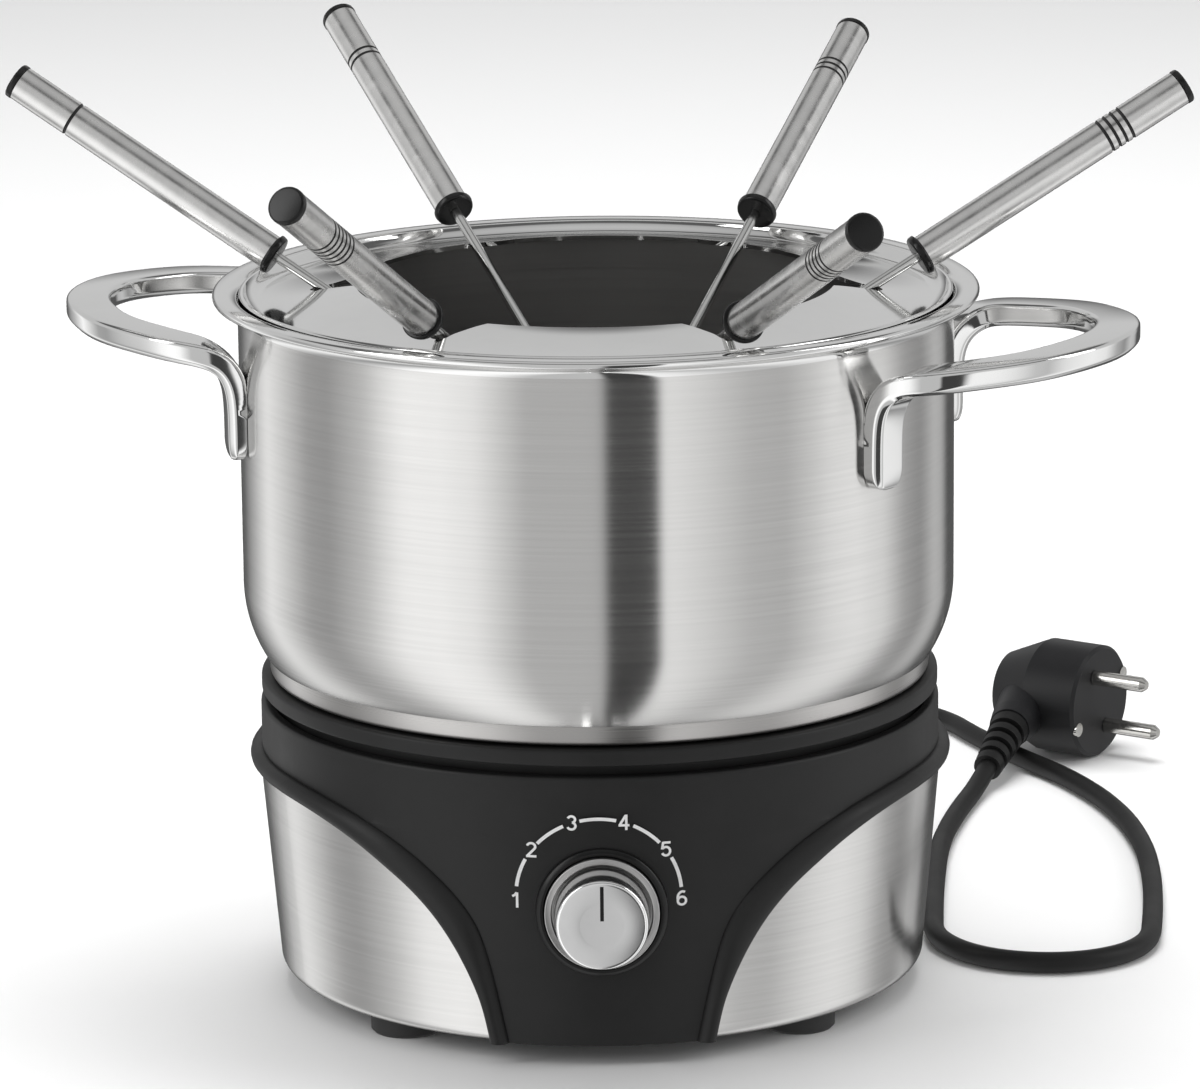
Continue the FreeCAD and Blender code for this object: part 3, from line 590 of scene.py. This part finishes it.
# ---------------------------------------------------------------- dial
DIAL = Matrix.Translation((0, 0, DIAL_Z)) @ Matrix.Rotation(math.radians(90), 4, "X")
SCALE_X = -0.8
SCALE_Z = 49.4
SCALE_R = 22.4
SCALE_ARCS = ((-83.5, -62), (-47.5, -25), (-13, 12.5), (25, 47.5), (61.5, 85))
SCALE_LINE = 0.96
FIGURE_ANGLES = ((1, -93.7), (2, -53.8), (3, -18.7), (4, 18.2), (5, 54.1), (6, 93.2))
FIGURE_LINE = 0.68
INK_LIFT = 0.05


def make_dial():
    """The black seat ring, the steel bezel and the turning cap, along the dial's own axis."""
    outline = softened([(15.7, 92.4, 0), (18.0, 92.4, 0), (17.9, 96.5, 0.9), (16.7, 97.4, 0.6),
                        (16.1, 97.2, 0.2), (15.7, 96.6, 0)])
    seat = lathe("dial_seat_ring", outline, SEAT_BLACK, "base", 128, DIAL)
    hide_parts("dial_seat")
    outline = softened([(4.2, 92.8, 0), (15.6, 92.8, 0), (15.6, 98.4, 0.3), (13.9, 98.1, 0.15),
                        (13.7, 97.4, 0.1), (13.7, 96.4, 0.1), (4.2, 96.4, 0)])
    bezel = lathe("dial_bezel_ring", outline, BEZEL_STEEL, "base", 128, DIAL)
    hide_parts("dial_bezel")
    outline = softened([(11.0, 97.6, 0), (13.2, 97.6, 0.4), (12.45, 109.2, 1.3), (6.0, 109.12, 3.0),
                        (0.0, 109.08, 0), (0.0, 107.6, 0), (11.0, 107.6, 0)], steps=6)
    cap = lathe("dial_knob", outline, KNOB_STEEL, "dial", 128, DIAL, sharp=50)
    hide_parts("knob_cap")


def on_panel(x, z, lift):
    """A point on the front panel."""
    radius = shell_r(z) - PANEL_INSET + lift
    return Vector((x, -math.sqrt(radius**2 - x**2), z))


def ink(name, outlines):
    """Flat shapes printed on the front panel, each a strip with one edge out and the other back."""
    verts = []
    faces = []
    for outline in outlines:
        start = len(verts)
        verts += [on_panel(x, z, INK_LIFT) for x, z in outline]
        end = start + len(outline) - 1
        for k in range(len(outline) // 2 - 1):
            faces.append((start + k, start + k + 1, end - 1 - k, end - k))
    piece(name, verts, faces, WHITE_INK, "base")


def on_scale(angle, radius):
    """A point of the dial's scale, by its angle from straight up."""
    turn = math.radians(angle)
    return (SCALE_X + radius * math.sin(turn), SCALE_Z + radius * math.cos(turn))


def make_scale():
    """The five arcs between the figures."""
    steps = 14
    strips = []
    for low, high in SCALE_ARCS:
        angles = [low + (high - low) * k / steps for k in range(steps + 1)]
        outer = [on_scale(angle, SCALE_R + SCALE_LINE / 2) for angle in angles]
        inner = [on_scale(angle, SCALE_R - SCALE_LINE / 2) for angle in angles]
        strips.append(outer + list(reversed(inner)))
    ink("dial_scale", strips)


def bowl(centre, radius, start, end, steps=14):
    """Points of a round stroke, angles in degrees."""
    points = []
    for k in range(steps + 1):
        angle = math.radians(start + (end - start) * k / steps)
        points.append((centre[0] + radius[0] * math.cos(angle), centre[1] + radius[1] * math.sin(angle)))
    return points


def stroke(points, width):
    """A closed outline round a bent line, which ink() fills."""
    left = []
    right = []
    for k, (x, z) in enumerate(points):
        ahead = Vector(points[min(k + 1, len(points) - 1)])
        behind = Vector(points[max(k - 1, 0)])
        way = (ahead - behind).normalized()
        side = Vector((-way.y, way.x)) * (width / 2)
        left.append((x + side.x, z + side.y))
        right.append((x - side.x, z - side.y))
    return left + list(reversed(right))


# strokes of each figure, 4.4 mm high round (0, 0)
FIGURES = {
    1: [[(-1.0, 1.05), (-0.3, 1.45), (0.22, 2.2)], [(0.3, 2.2), (0.3, -2.2)]],
    2: [bowl((0, 0.9), (1.1, 1.0), 165, -35) + [(-0.1, -0.75), (-1.15, -1.85)],
        [(-1.4, -1.86), (1.4, -1.86)]],
    3: [bowl((0, 0.98), (1.0, 0.92), 160, -80), bowl((0, -0.88), (1.1, 1.0), 80, -160)],
    4: [[(0.55, 2.2), (0.55, -2.2)], [(0.42, 2.0), (-1.3, -0.85)], [(-1.55, -0.85), (1.4, -0.85)]],
    5: [[(1.25, 1.86), (-0.75, 1.86)], [(-0.72, 2.1), (-1.05, -0.05)],
        bowl((0, -0.62), (1.12, 1.24), 140, -155)],
    6: [bowl((0, -0.75), (1.12, 1.12), 0, 360, 28), bowl((0.2, 0.05), (1.35, 1.85), 62, 190)],
}


def make_figures():
    """The figures 1 to 6 round the scale."""
    for number, angle in FIGURE_ANGLES:
        centre_x, centre_z = on_scale(angle, SCALE_R + 0.1)
        outlines = []
        for line in FIGURES[number]:
            outlines.append([(centre_x + x, centre_z + z) for x, z in stroke(line, FIGURE_LINE)])
        ink("figure_%d" % number, outlines)


make_dial()
make_scale()
make_figures()

# ---------------------------------------------------------------- pot
CORNER = (62.3, 117.0)
CORNER_R = 37.7
CORNER_INNER_R = 36.5


def make_pot():
    """The pot's wall with its rolled rim, polished above and dull inside, and its base disc."""
    outline = [(0.0, 96.6), (60.0, 96.6), (93.2, 96.6), (93.8, 96.65)]
    outline += arc(CORNER, CORNER_R, -32.4, 0, 16)
    outline += [(100.0, 130.0), (100.0, 150.0), (100.0, 170.0), (100.0, 185.0), (100.0, 192.5)]
    outline += arc((103.9, 193.0), 3.9, 172, 98, 7)
    outline += arc((105.9, 198.3), 1.1, -90, 90, 8)
    outline += arc((103.0, 195.2), 4.2, 90, 180, 10)
    outline += [(98.8, 180.0), (98.8, 160.0), (98.8, 140.0)]
    outline += arc(CORNER, CORNER_INNER_R, 0, -31.6, 14)
    outline += [(60.0, 98.0), (0.0, 98.0)]
    pot = lathe("pot_wall", outline, POT_STEEL, "pot", 256, sharp=28)
    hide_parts("pot_shell")
    pot.data.materials.append(MIRROR)
    pot.data.materials.append(INNER_STEEL)
    for face in pot.data.polygons:
        centre = face.center / MM
        radius = math.hypot(centre.x, centre.y)
        outside_corner = centre.z < 118 and math.hypot(radius - CORNER[0], centre.z - CORNER[1]) > 37.1
        if centre.z > 193.6:
            face.material_index = 1
        elif radius < 98.9 and centre.z > 97.4 and not outside_corner:
            face.material_index = 2
    outline = softened([(0.0, 91.0, 0), (93.0, 91.0, 1.3), (93.0, 96.6, 0.3), (0.0, 96.6, 0)])
    disc = lathe("pot_base", outline, DISC_STEEL, "pot", 256)
    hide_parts("pot_disc")


make_pot()

# ---------------------------------------------------------------- handles
TAB_OUT = polar(1, TAB_AZ, 0)
TAB_CORNER_H = 6.0
FINE_STEP = 0.5
# cross-section of the strap: flat above, with its lower edges cut back
SECTION = softened([(-HANDLE_W / 2, HANDLE_T / 2, 1.5), (HANDLE_W / 2, HANDLE_T / 2, 1.5),
                    (HANDLE_W / 2, -1.6, 1.8), (4.5, -HANDLE_T / 2, 1.6),
                    (-4.5, -HANDLE_T / 2, 1.6), (-HANDLE_W / 2, -1.6, 1.8)], steps=6)


def rounded_path(points, radii, step=1.2):
    """Dense points and directions of straight runs joined by tangent arcs."""
    dense = []
    here = points[0]
    for index in range(1, len(points) - 1):
        corner = points[index]
        into = (corner - points[index - 1]).normalized()
        out = (points[index + 1] - corner).normalized()
        turn = into.angle(out)
        radius = radii[index - 1]
        trim = radius * math.tan(turn / 2)
        start = corner - into * trim
        normal = (out - into * into.dot(out)).normalized()
        count = max(1, int((start - here).length / (step * 4)))
        dense += [(here.lerp(start, k / count), into.copy()) for k in range(count)]
        count = max(4, int(radius * turn / step))
        for k in range(count):
            a = turn * k / count
            at = start + into * (radius * math.sin(a)) + normal * (radius * (1 - math.cos(a)))
            dense.append((at, into * math.cos(a) + normal * math.sin(a)))
        here = corner + out * trim
    last = points[-1]
    count = max(1, int((last - here).length / (step * 4)))
    way = (last - here).normalized()
    dense += [(here.lerp(last, k / count), way.copy()) for k in range(count + 1)]
    return dense


def on_loop(x, y):
    """A point on the middle plane of a handle loop, which rises towards its tip."""
    fall = (LOOP_POINTS[-1][0] - x) * math.tan(math.radians(HANDLE_RISE))
    return Vector((x, y, HANDLE_TIP_Z - HANDLE_T / 2 - fall))


def eased(dense, rounds=30, step=1.5):
    """Even out the spacing along a loop and round off its bends above the tabs."""
    marks = [0.0]
    for (a, _), (b, _) in zip(dense[:-1], dense[1:]):
        marks.append(marks[-1] + (b - a).length)
    count = int(marks[-1] / step)
    points = []
    index = 0
    for k in range(count + 1):
        mark = marks[-1] * k / count
        while index < len(marks) - 2 and marks[index + 1] < mark:
            index += 1
        span = marks[index + 1] - marks[index]
        share = (mark - marks[index]) / span if span > 1e-9 else 0.0
        points.append(dense[index][0].lerp(dense[index + 1][0], share))
    for _ in range(rounds):
        before = [p.copy() for p in points]
        for k in range(1, count):
            if before[k].z > TAB_LOW_Z + 9.0:
                points[k] = (before[k - 1] + before[k] * 2 + before[k + 1]) / 4
    result = []
    for k, point in enumerate(points):
        ahead = points[min(k + 1, count)]
        behind = points[max(k - 1, 0)]
        result.append((point, (ahead - behind).normalized()))
    return result


def handle_line():
    """Points and directions from the foot of one tab, round the loop, to the foot of the other."""
    foot = polar(TAB_AXIS_R, TAB_AZ, TAB_LOW_Z)
    half = [foot, on_loop(foot.x, foot.y), on_loop(TAB_OUT.x * SHOULDER_R, TAB_OUT.y * SHOULDER_R)]
    half += [on_loop(x, y) for x, y in LOOP_POINTS]
    loop = half + [Vector((p.x, -p.y, p.z)) for p in reversed(half)]
    dense = eased(rounded_path(loop, LOOP_RADII + LOOP_RADII[::-1]))
    heights = [TAB_LOW_Z + k * FINE_STEP for k in range(12)]
    line = [(polar(TAB_AXIS_R, TAB_AZ, z), Vector((0, 0, 1))) for z in heights]
    line += [spot for spot in dense if spot[0].z >= TAB_LOW_Z + TAB_CORNER_H]
    line += [(polar(TAB_AXIS_R, -TAB_AZ, z), Vector((0, 0, -1))) for z in reversed(heights)]
    return line


def handle_columns(line):
    """Cross-sections along a handle: flat face up on the loop and inwards on the tabs."""
    columns = []
    for index, (at, way) in enumerate(line):
        side = 1 if index < len(line) / 2 else -1
        straight = Vector((TAB_OUT.x * side, TAB_OUT.y, 0))
        upright = min(1.0, max(0.0, (way.z * side - 0.15) / 0.6))
        upright = upright * upright * (3 - 2 * upright)
        plan = Vector((way.x, way.y, 0))
        if plan.length > 0.02:
            straight = plan.normalized().lerp(straight, upright).normalized()
        across = Vector((0, 0, 1)).cross(straight)
        up = way.cross(across).normalized()
        column = []
        for u, w in SECTION:
            point = at + across * u + up * w
            radius = math.hypot(point.x, point.y)
            if radius < POT_WALL_R:
                point.x *= POT_WALL_R / radius
                point.y *= POT_WALL_R / radius
            column.append(point)
        columns.append(column)
    return columns


def round_tabs(columns):
    """Shrink the last sections in, so that each tab ends in a rounded corner."""
    for order in (columns, list(reversed(columns))):
        foot = order[0][0].z
        for column in order:
            height = column[0].z - foot
            if height > TAB_CORNER_H:
                break
            share = math.sqrt(max(0.0, 1 - (1 - height / TAB_CORNER_H) ** 2))
            keep = 0.35 + 0.65 * share
            middle = sum(column, Vector()) / len(column)
            for point in column:
                point.x = middle.x + (point.x - middle.x) * keep
                point.y = middle.y + (point.y - middle.y) * keep


def make_handles():
    """The two strap handles, half a turn apart."""
    columns = handle_columns(handle_line())
    round_tabs(columns)
    for name, node, turn in (("loop_right", "handle_right", POT_TURN),
                             ("loop_left", "handle_left", POT_TURN + 180)):
        spin = Matrix.Rotation(math.radians(turn), 4, "Z")
        turned = [[spin @ point for point in column] for column in columns]
        handle = loft(name, turned, MIRROR, "pot", sharp=50)
        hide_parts(node)


make_handles()

# ---------------------------------------------------------------- guide ring
GUIDE_TOP = list(reversed(through((93.5, 196.6), (80.0, 198.0), (67.0, 200.75), 40)))
GUIDE_UNDER = list(reversed(through((93.5, 195.4), (80.0, 196.8), (67.0, 199.55), 40)))
LIP = through((93.5, 196.6), (96.6, 197.2), (98.4, 199.3), 8)[1:]
LIP += through((98.4, 199.3), (99.0, 199.4), (99.6, 198.8), 3)[1:]
LIP += through((99.6, 198.8), (99.42, 198.38), (99.0, 198.2), 3)[1:]
LIP += through((99.0, 198.2), (97.6, 197.4), (96.8, 195.9), 5)[1:]
LIP += [(96.8, 190.0), (96.8, 186.0), (95.6, 186.0), (95.6, 190.0), (95.6, 195.2)]
# half the edge of a keyhole slot: distance to the side of its middle line, and radius
SLOT_EDGE = [(-15.0, 67.0), (-8.6, 67.0), (-7.8, 67.4), (-6.6, 68.6), (-5.3, 70.4), (-4.2, 72.4),
             (-3.3, 74.2), (-2.8, 75.6), (-2.6, 77.4), (-2.35, 78.5), (-1.85, 79.3), (-1.0, 79.85),
             (0.0, 80.0)]
SLOT_EDGE += [(-side, r) for side, r in reversed(SLOT_EDGE[:-1])]
SLOTS = 6


def on_line(line, r):
    """Height of a line of (radius, height) points at a radius."""
    for a, b in zip(line[:-1], line[1:]):
        if a[0] <= r <= b[0]:
            return a[1] + (b[1] - a[1]) * (r - a[0]) / (b[0] - a[0])
    return line[0][1] if r < line[0][0] else line[-1][1]


def guide_column(azimuth, r_in, rows=22):
    """The ring's section at an angle, from its inner edge over the top, round the lip and back."""
    radii = [r_in + (GUIDE_FLAT_R - r_in) * row / rows for row in range(rows + 1)]
    column = [polar(r, azimuth, on_line(GUIDE_TOP, r)) for r in radii]
    column += [polar(r, azimuth, z) for r, z in LIP]
    column += [polar(r, azimuth, on_line(GUIDE_UNDER, r)) for r in reversed(radii)]
    return column


def make_guide():
    """The ring in the pot's mouth, with its slots, polished above and dull on its skirt."""
    pitch = 360.0 / SLOTS
    half_slot = math.degrees(SLOT_EDGE[-1][0] / GUIDE_BORE_R)
    gap_steps = 14
    columns = []
    for k in range(SLOTS):
        centre = GUIDE_TURN + pitch * k
        for side, r_in in smooth_curve(SLOT_EDGE, 3):
            columns.append(guide_column(centre + math.degrees(side / max(r_in, GUIDE_BORE_R)), r_in))
        for step in range(1, gap_steps):
            azimuth = centre + half_slot + (pitch - 2 * half_slot) * step / gap_steps
            columns.append(guide_column(azimuth, GUIDE_BORE_R))
    guide = loft("slotted_ring", columns, MIRROR, "guide", ring=True, sharp=40)
    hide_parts("fork_guide")
    guide.data.materials.append(INNER_STEEL)
    for face in guide.data.polygons:
        centre = face.center / MM
        if centre.z < 195.6 and math.hypot(centre.x, centre.y) > 95.0:
            face.material_index = 1


make_guide()

# ---------------------------------------------------------------- forks
GRIP_R = 5.0
GRIP_START = 1.8
GRIP_END = 87.8
GROOVE_FIRST = 20.0
GROOVE_PITCH = 2.3
GROOVE_FLOOR_R = 4.74


def fork_place(slot_azimuth, azimuth, tilt, reach):
    """A matrix that puts local +Z along a fork, from the end of its cap towards its tines."""
    outwards = polar(1, azimuth, 0)
    across = Vector((0, 0, 1)).cross(outwards)
    inwards = outwards * -math.cos(math.radians(tilt)) - Vector((0, 0, 1)) * math.sin(math.radians(tilt))
    in_slot = polar(NOTCH_R, slot_azimuth + GUIDE_TURN, NOTCH_Z)
    return along(in_slot - inwards * reach, inwards, across)


def make_grip(number, place):
    """The steel tube, with as many turned grooves as the fork's number."""
    outline = [(4.2, GRIP_START), (4.7, GRIP_START), (GRIP_R, GRIP_START + 0.3)]
    for k in range(number):
        groove = GROOVE_FIRST + GROOVE_PITCH * k
        outline += [(GRIP_R, groove - 0.12), (GROOVE_FLOOR_R, groove + 0.05),
                    (GROOVE_FLOOR_R, groove + 0.65), (GRIP_R, groove + 0.82)]
    outline += [(GRIP_R, 50.0), (GRIP_R, 75.0), (GRIP_R, GRIP_END - 0.3), (4.7, GRIP_END), (4.2, GRIP_END)]
    stem = lathe("fork_%d_grip" % number, outline, FORK_STEEL, "fork_%d" % number, 64,
                 place, sharp=25)
    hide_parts("fork%d_tube" % number)
    # the faces inside the grooves are painted near black as shade
    stem.data.materials.append(GROOVE_PAINTED_SHADE)
    back = place.inverted()
    for face in stem.data.polygons:
        depth = (back @ (face.center / MM)).z - GROOVE_FIRST + 0.15
        if 0.0 < depth < GROOVE_PITCH * number and depth % GROOVE_PITCH < 1.0:
            face.material_index = 1


def make_fork(number, place):
    """A fork's grip, its end cap and its guard. The rod with the tines is the CAD's own."""
    body = "fork_%d" % number
    make_grip(number, place)
    outline = softened([(0.0, 0.0, 0), (5.15, 0.0, 0.8), (5.15, 1.8, 0.2), (4.2, 1.85, 0), (4.2, 9.0, 0),
                        (0.0, 9.0, 0)])
    end_cap = lathe("fork_%d_end" % number, outline, CAP_BLACK, body, 64, place)
    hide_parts("fork%d_cap" % number)
    outline = softened([(1.5, 80.5, 0), (4.2, 80.5, 0), (4.2, 87.8, 0), (6.0, 87.8, 0.5),
                        (5.6, 89.9, 0.9), (1.5, 90.0, 0.2)])
    guard = lathe("fork_%d_guard" % number, outline, CAP_BLACK, body, 64, place)
    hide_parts("fork%d_collar" % number)
    dress("fork%d_rod" % number, ROD_STEEL)


for number, slot_azimuth, azimuth, tilt, reach in FORKS:
    make_fork(number, fork_place(slot_azimuth, azimuth, tilt, reach))

# ---------------------------------------------------------------- CAD nodes that stay
for node, material in (
        ("base_plate", BASE_BLACK), ("foot_1", FOOT_BLACK), ("foot_2", FOOT_BLACK), ("foot_3", FOOT_BLACK),
        ("foot_4", FOOT_BLACK), ("foot_screws", ZINC), ("heat_shield", ZINC), ("hotplate", PLATE_BLACK),
        ("heating_element", ELEMENT), ("thermostat", INNER_WHITE), ("thermostat_bracket", ZINC),
        ("thermostat_sensor", COPPER), ("thermal_fuse", ZINC), ("terminal_block", INNER_WHITE),
        ("inner_wires", SLEEVE), ("cord_gland", CORD_BLACK), ("plug_body", PLUG_BLACK),
        ("plug_pins", NICKEL), ("plug_clips", NICKEL), ("plug_relief", CORD_BLACK),
        ("knob_pointer", CAP_BLACK), ("knob_core", BASE_BLACK), ("knob_shaft", ZINC)):
    dress(node, material)

# ---------------------------------------------------------------- floor
FLOOR_HALF = 12

floor_paint = Paint("floor_white", (0.93, 0.93, 0.93), roughness=0.9)
mesh = bpy.data.meshes.new("floor")
mesh.from_pydata([(-FLOOR_HALF, -FLOOR_HALF, 0), (FLOOR_HALF, -FLOOR_HALF, 0),
                  (FLOOR_HALF, FLOOR_HALF, 0), (-FLOOR_HALF, FLOOR_HALF, 0)], [], [(0, 1, 2, 3)])
mesh.materials.append(floor_paint.material)
floor = bpy.data.objects.new("floor", mesh)
bpy.context.scene.collection.objects.link(floor)
floor.visible_glossy = False

# ---------------------------------------------------------------- studio round the object
# brightness of the walls by degrees from the front, negative to the left, as the steel mirrors them
WALLS = [(-180, 0.10), (-160, 0.14), (-146, 0.55), (-132, 1.15), (-122, 0.90), (-106, 0.45), (-96, 0.42),
         (-80, 0.75), (-66, 1.20), (-52, 1.32), (-40, 1.20), (-30, 0.85), (-23, 0.62), (1, 0.62), (3.5, 0.06),
         (19.0, 0.06), (20.5, 1.16), (34, 0.95), (50, 0.66), (62, 0.60), (78, 0.92), (92, 1.08), (104, 0.98),
         (116, 0.50), (127, 0.34), (138, 0.64), (146, 0.55), (153, 0.10), (180, 0.06)]
WALL_AHEAD = 0.62
WALL_PEAK = 1.35
# brightness by height: -1 is straight down, 0 the horizon and 1 overhead
HEIGHTS = [(-1.0, 0.95), (-0.30, 0.80), (0.02, 0.62), (0.16, 0.64), (0.60, 0.62), (0.66, 0.12),
           (0.78, 0.12), (0.84, 0.45), (1.0, 0.60)]
# how much the height counts against the compass angle, from straight down at 0 to overhead at 1
LEVELS = [(0.0, 0.0), (0.51, 0.0), (0.59, 1.0), (1.0, 1.0)]


def wall_share(degrees):
    """Place on the ramp, which starts at the front and runs left, back and right."""
    return -degrees / 360.0 if degrees <= 0 else 1.0 - degrees / 360.0


def grey_ramp(nodes, links, place, stops):
    """A ramp node of (place, grey) stops, and its output."""
    node = nodes.new("ShaderNodeValToRGB")
    links.new(place, node.inputs["Fac"])
    ramp = node.color_ramp
    for at, _ in stops[1:-1]:
        ramp.elements.new(at)
    for element, (at, grey) in zip(ramp.elements, stops):
        element.position = at
        element.color = (grey, grey, grey, 1.0)
    return node.outputs["Color"]


def to_share(nodes, links, value, reach):
    """Map a value from -reach..reach to 0..1."""
    node = nodes.new("ShaderNodeMapRange")
    node.inputs["From Min"].default_value = -reach
    node.inputs["From Max"].default_value = reach
    links.new(value, node.inputs["Value"])
    return node.outputs["Result"]


def make_studio():
    """World light: walls by compass angle low down, which give way to a ceiling by height."""
    world = bpy.data.worlds.new("studio")
    bpy.context.scene.world = world
    world.use_nodes = True
    nodes = world.node_tree.nodes
    links = world.node_tree.links
    coords = nodes.new("ShaderNodeTexCoord")
    split = nodes.new("ShaderNodeSeparateXYZ")
    links.new(coords.outputs["Generated"], split.inputs["Vector"])
    compass = nodes.new("ShaderNodeMath")
    compass.operation = "ARCTAN2"
    links.new(split.outputs["X"], compass.inputs[0])
    links.new(split.outputs["Y"], compass.inputs[1])
    compass_share = to_share(nodes, links, compass.outputs["Value"], math.pi)
    height_share = to_share(nodes, links, split.outputs["Z"], 1.0)
    walls = sorted((wall_share(degrees), value / WALL_PEAK) for degrees, value in WALLS)
    walls = [(0.0, WALL_AHEAD / WALL_PEAK)] + walls + [(1.0, WALL_AHEAD / WALL_PEAK)]
    heights = [((z + 1) / 2, value / WALL_PEAK) for z, value in HEIGHTS]
    blend = nodes.new("ShaderNodeMix")
    blend.data_type = "RGBA"
    links.new(grey_ramp(nodes, links, height_share, LEVELS), blend.inputs["Factor"])
    links.new(grey_ramp(nodes, links, compass_share, walls), blend.inputs[6])
    links.new(grey_ramp(nodes, links, height_share, heights), blend.inputs[7])
    background = nodes["Background"]
    links.new(blend.outputs[2], background.inputs["Color"])
    background.inputs["Strength"].default_value = WALL_PEAK


def soft_light(name, at, target, size, power):
    """A rectangular lamp that points at a place."""
    data = bpy.data.lights.new(name, "AREA")
    data.shape = "RECTANGLE"
    data.size = size[0]
    data.size_y = size[1]
    data.energy = power
    light = bpy.data.objects.new(name, data)
    light.location = at
    light.rotation_mode = "QUATERNION"
    light.rotation_quaternion = (Vector(target) - Vector(at)).to_track_quat("-Z", "Y")
    bpy.context.scene.collection.objects.link(light)
    return light


make_studio()
top_box = soft_light("top_box", (0.0, 0.55, 2.0), (0, 0, 0.1), (1.3, 1.3), 33.0)
top_box.visible_glossy = False
soft_light("left_box", (-1.8, -0.8, 1.3), (0, 0, 0.12), (0.7, 1.6), 12.0)
soft_light("right_box", (1.9, -0.2, 1.2), (0, 0, 0.12), (0.6, 1.6), 9.0)
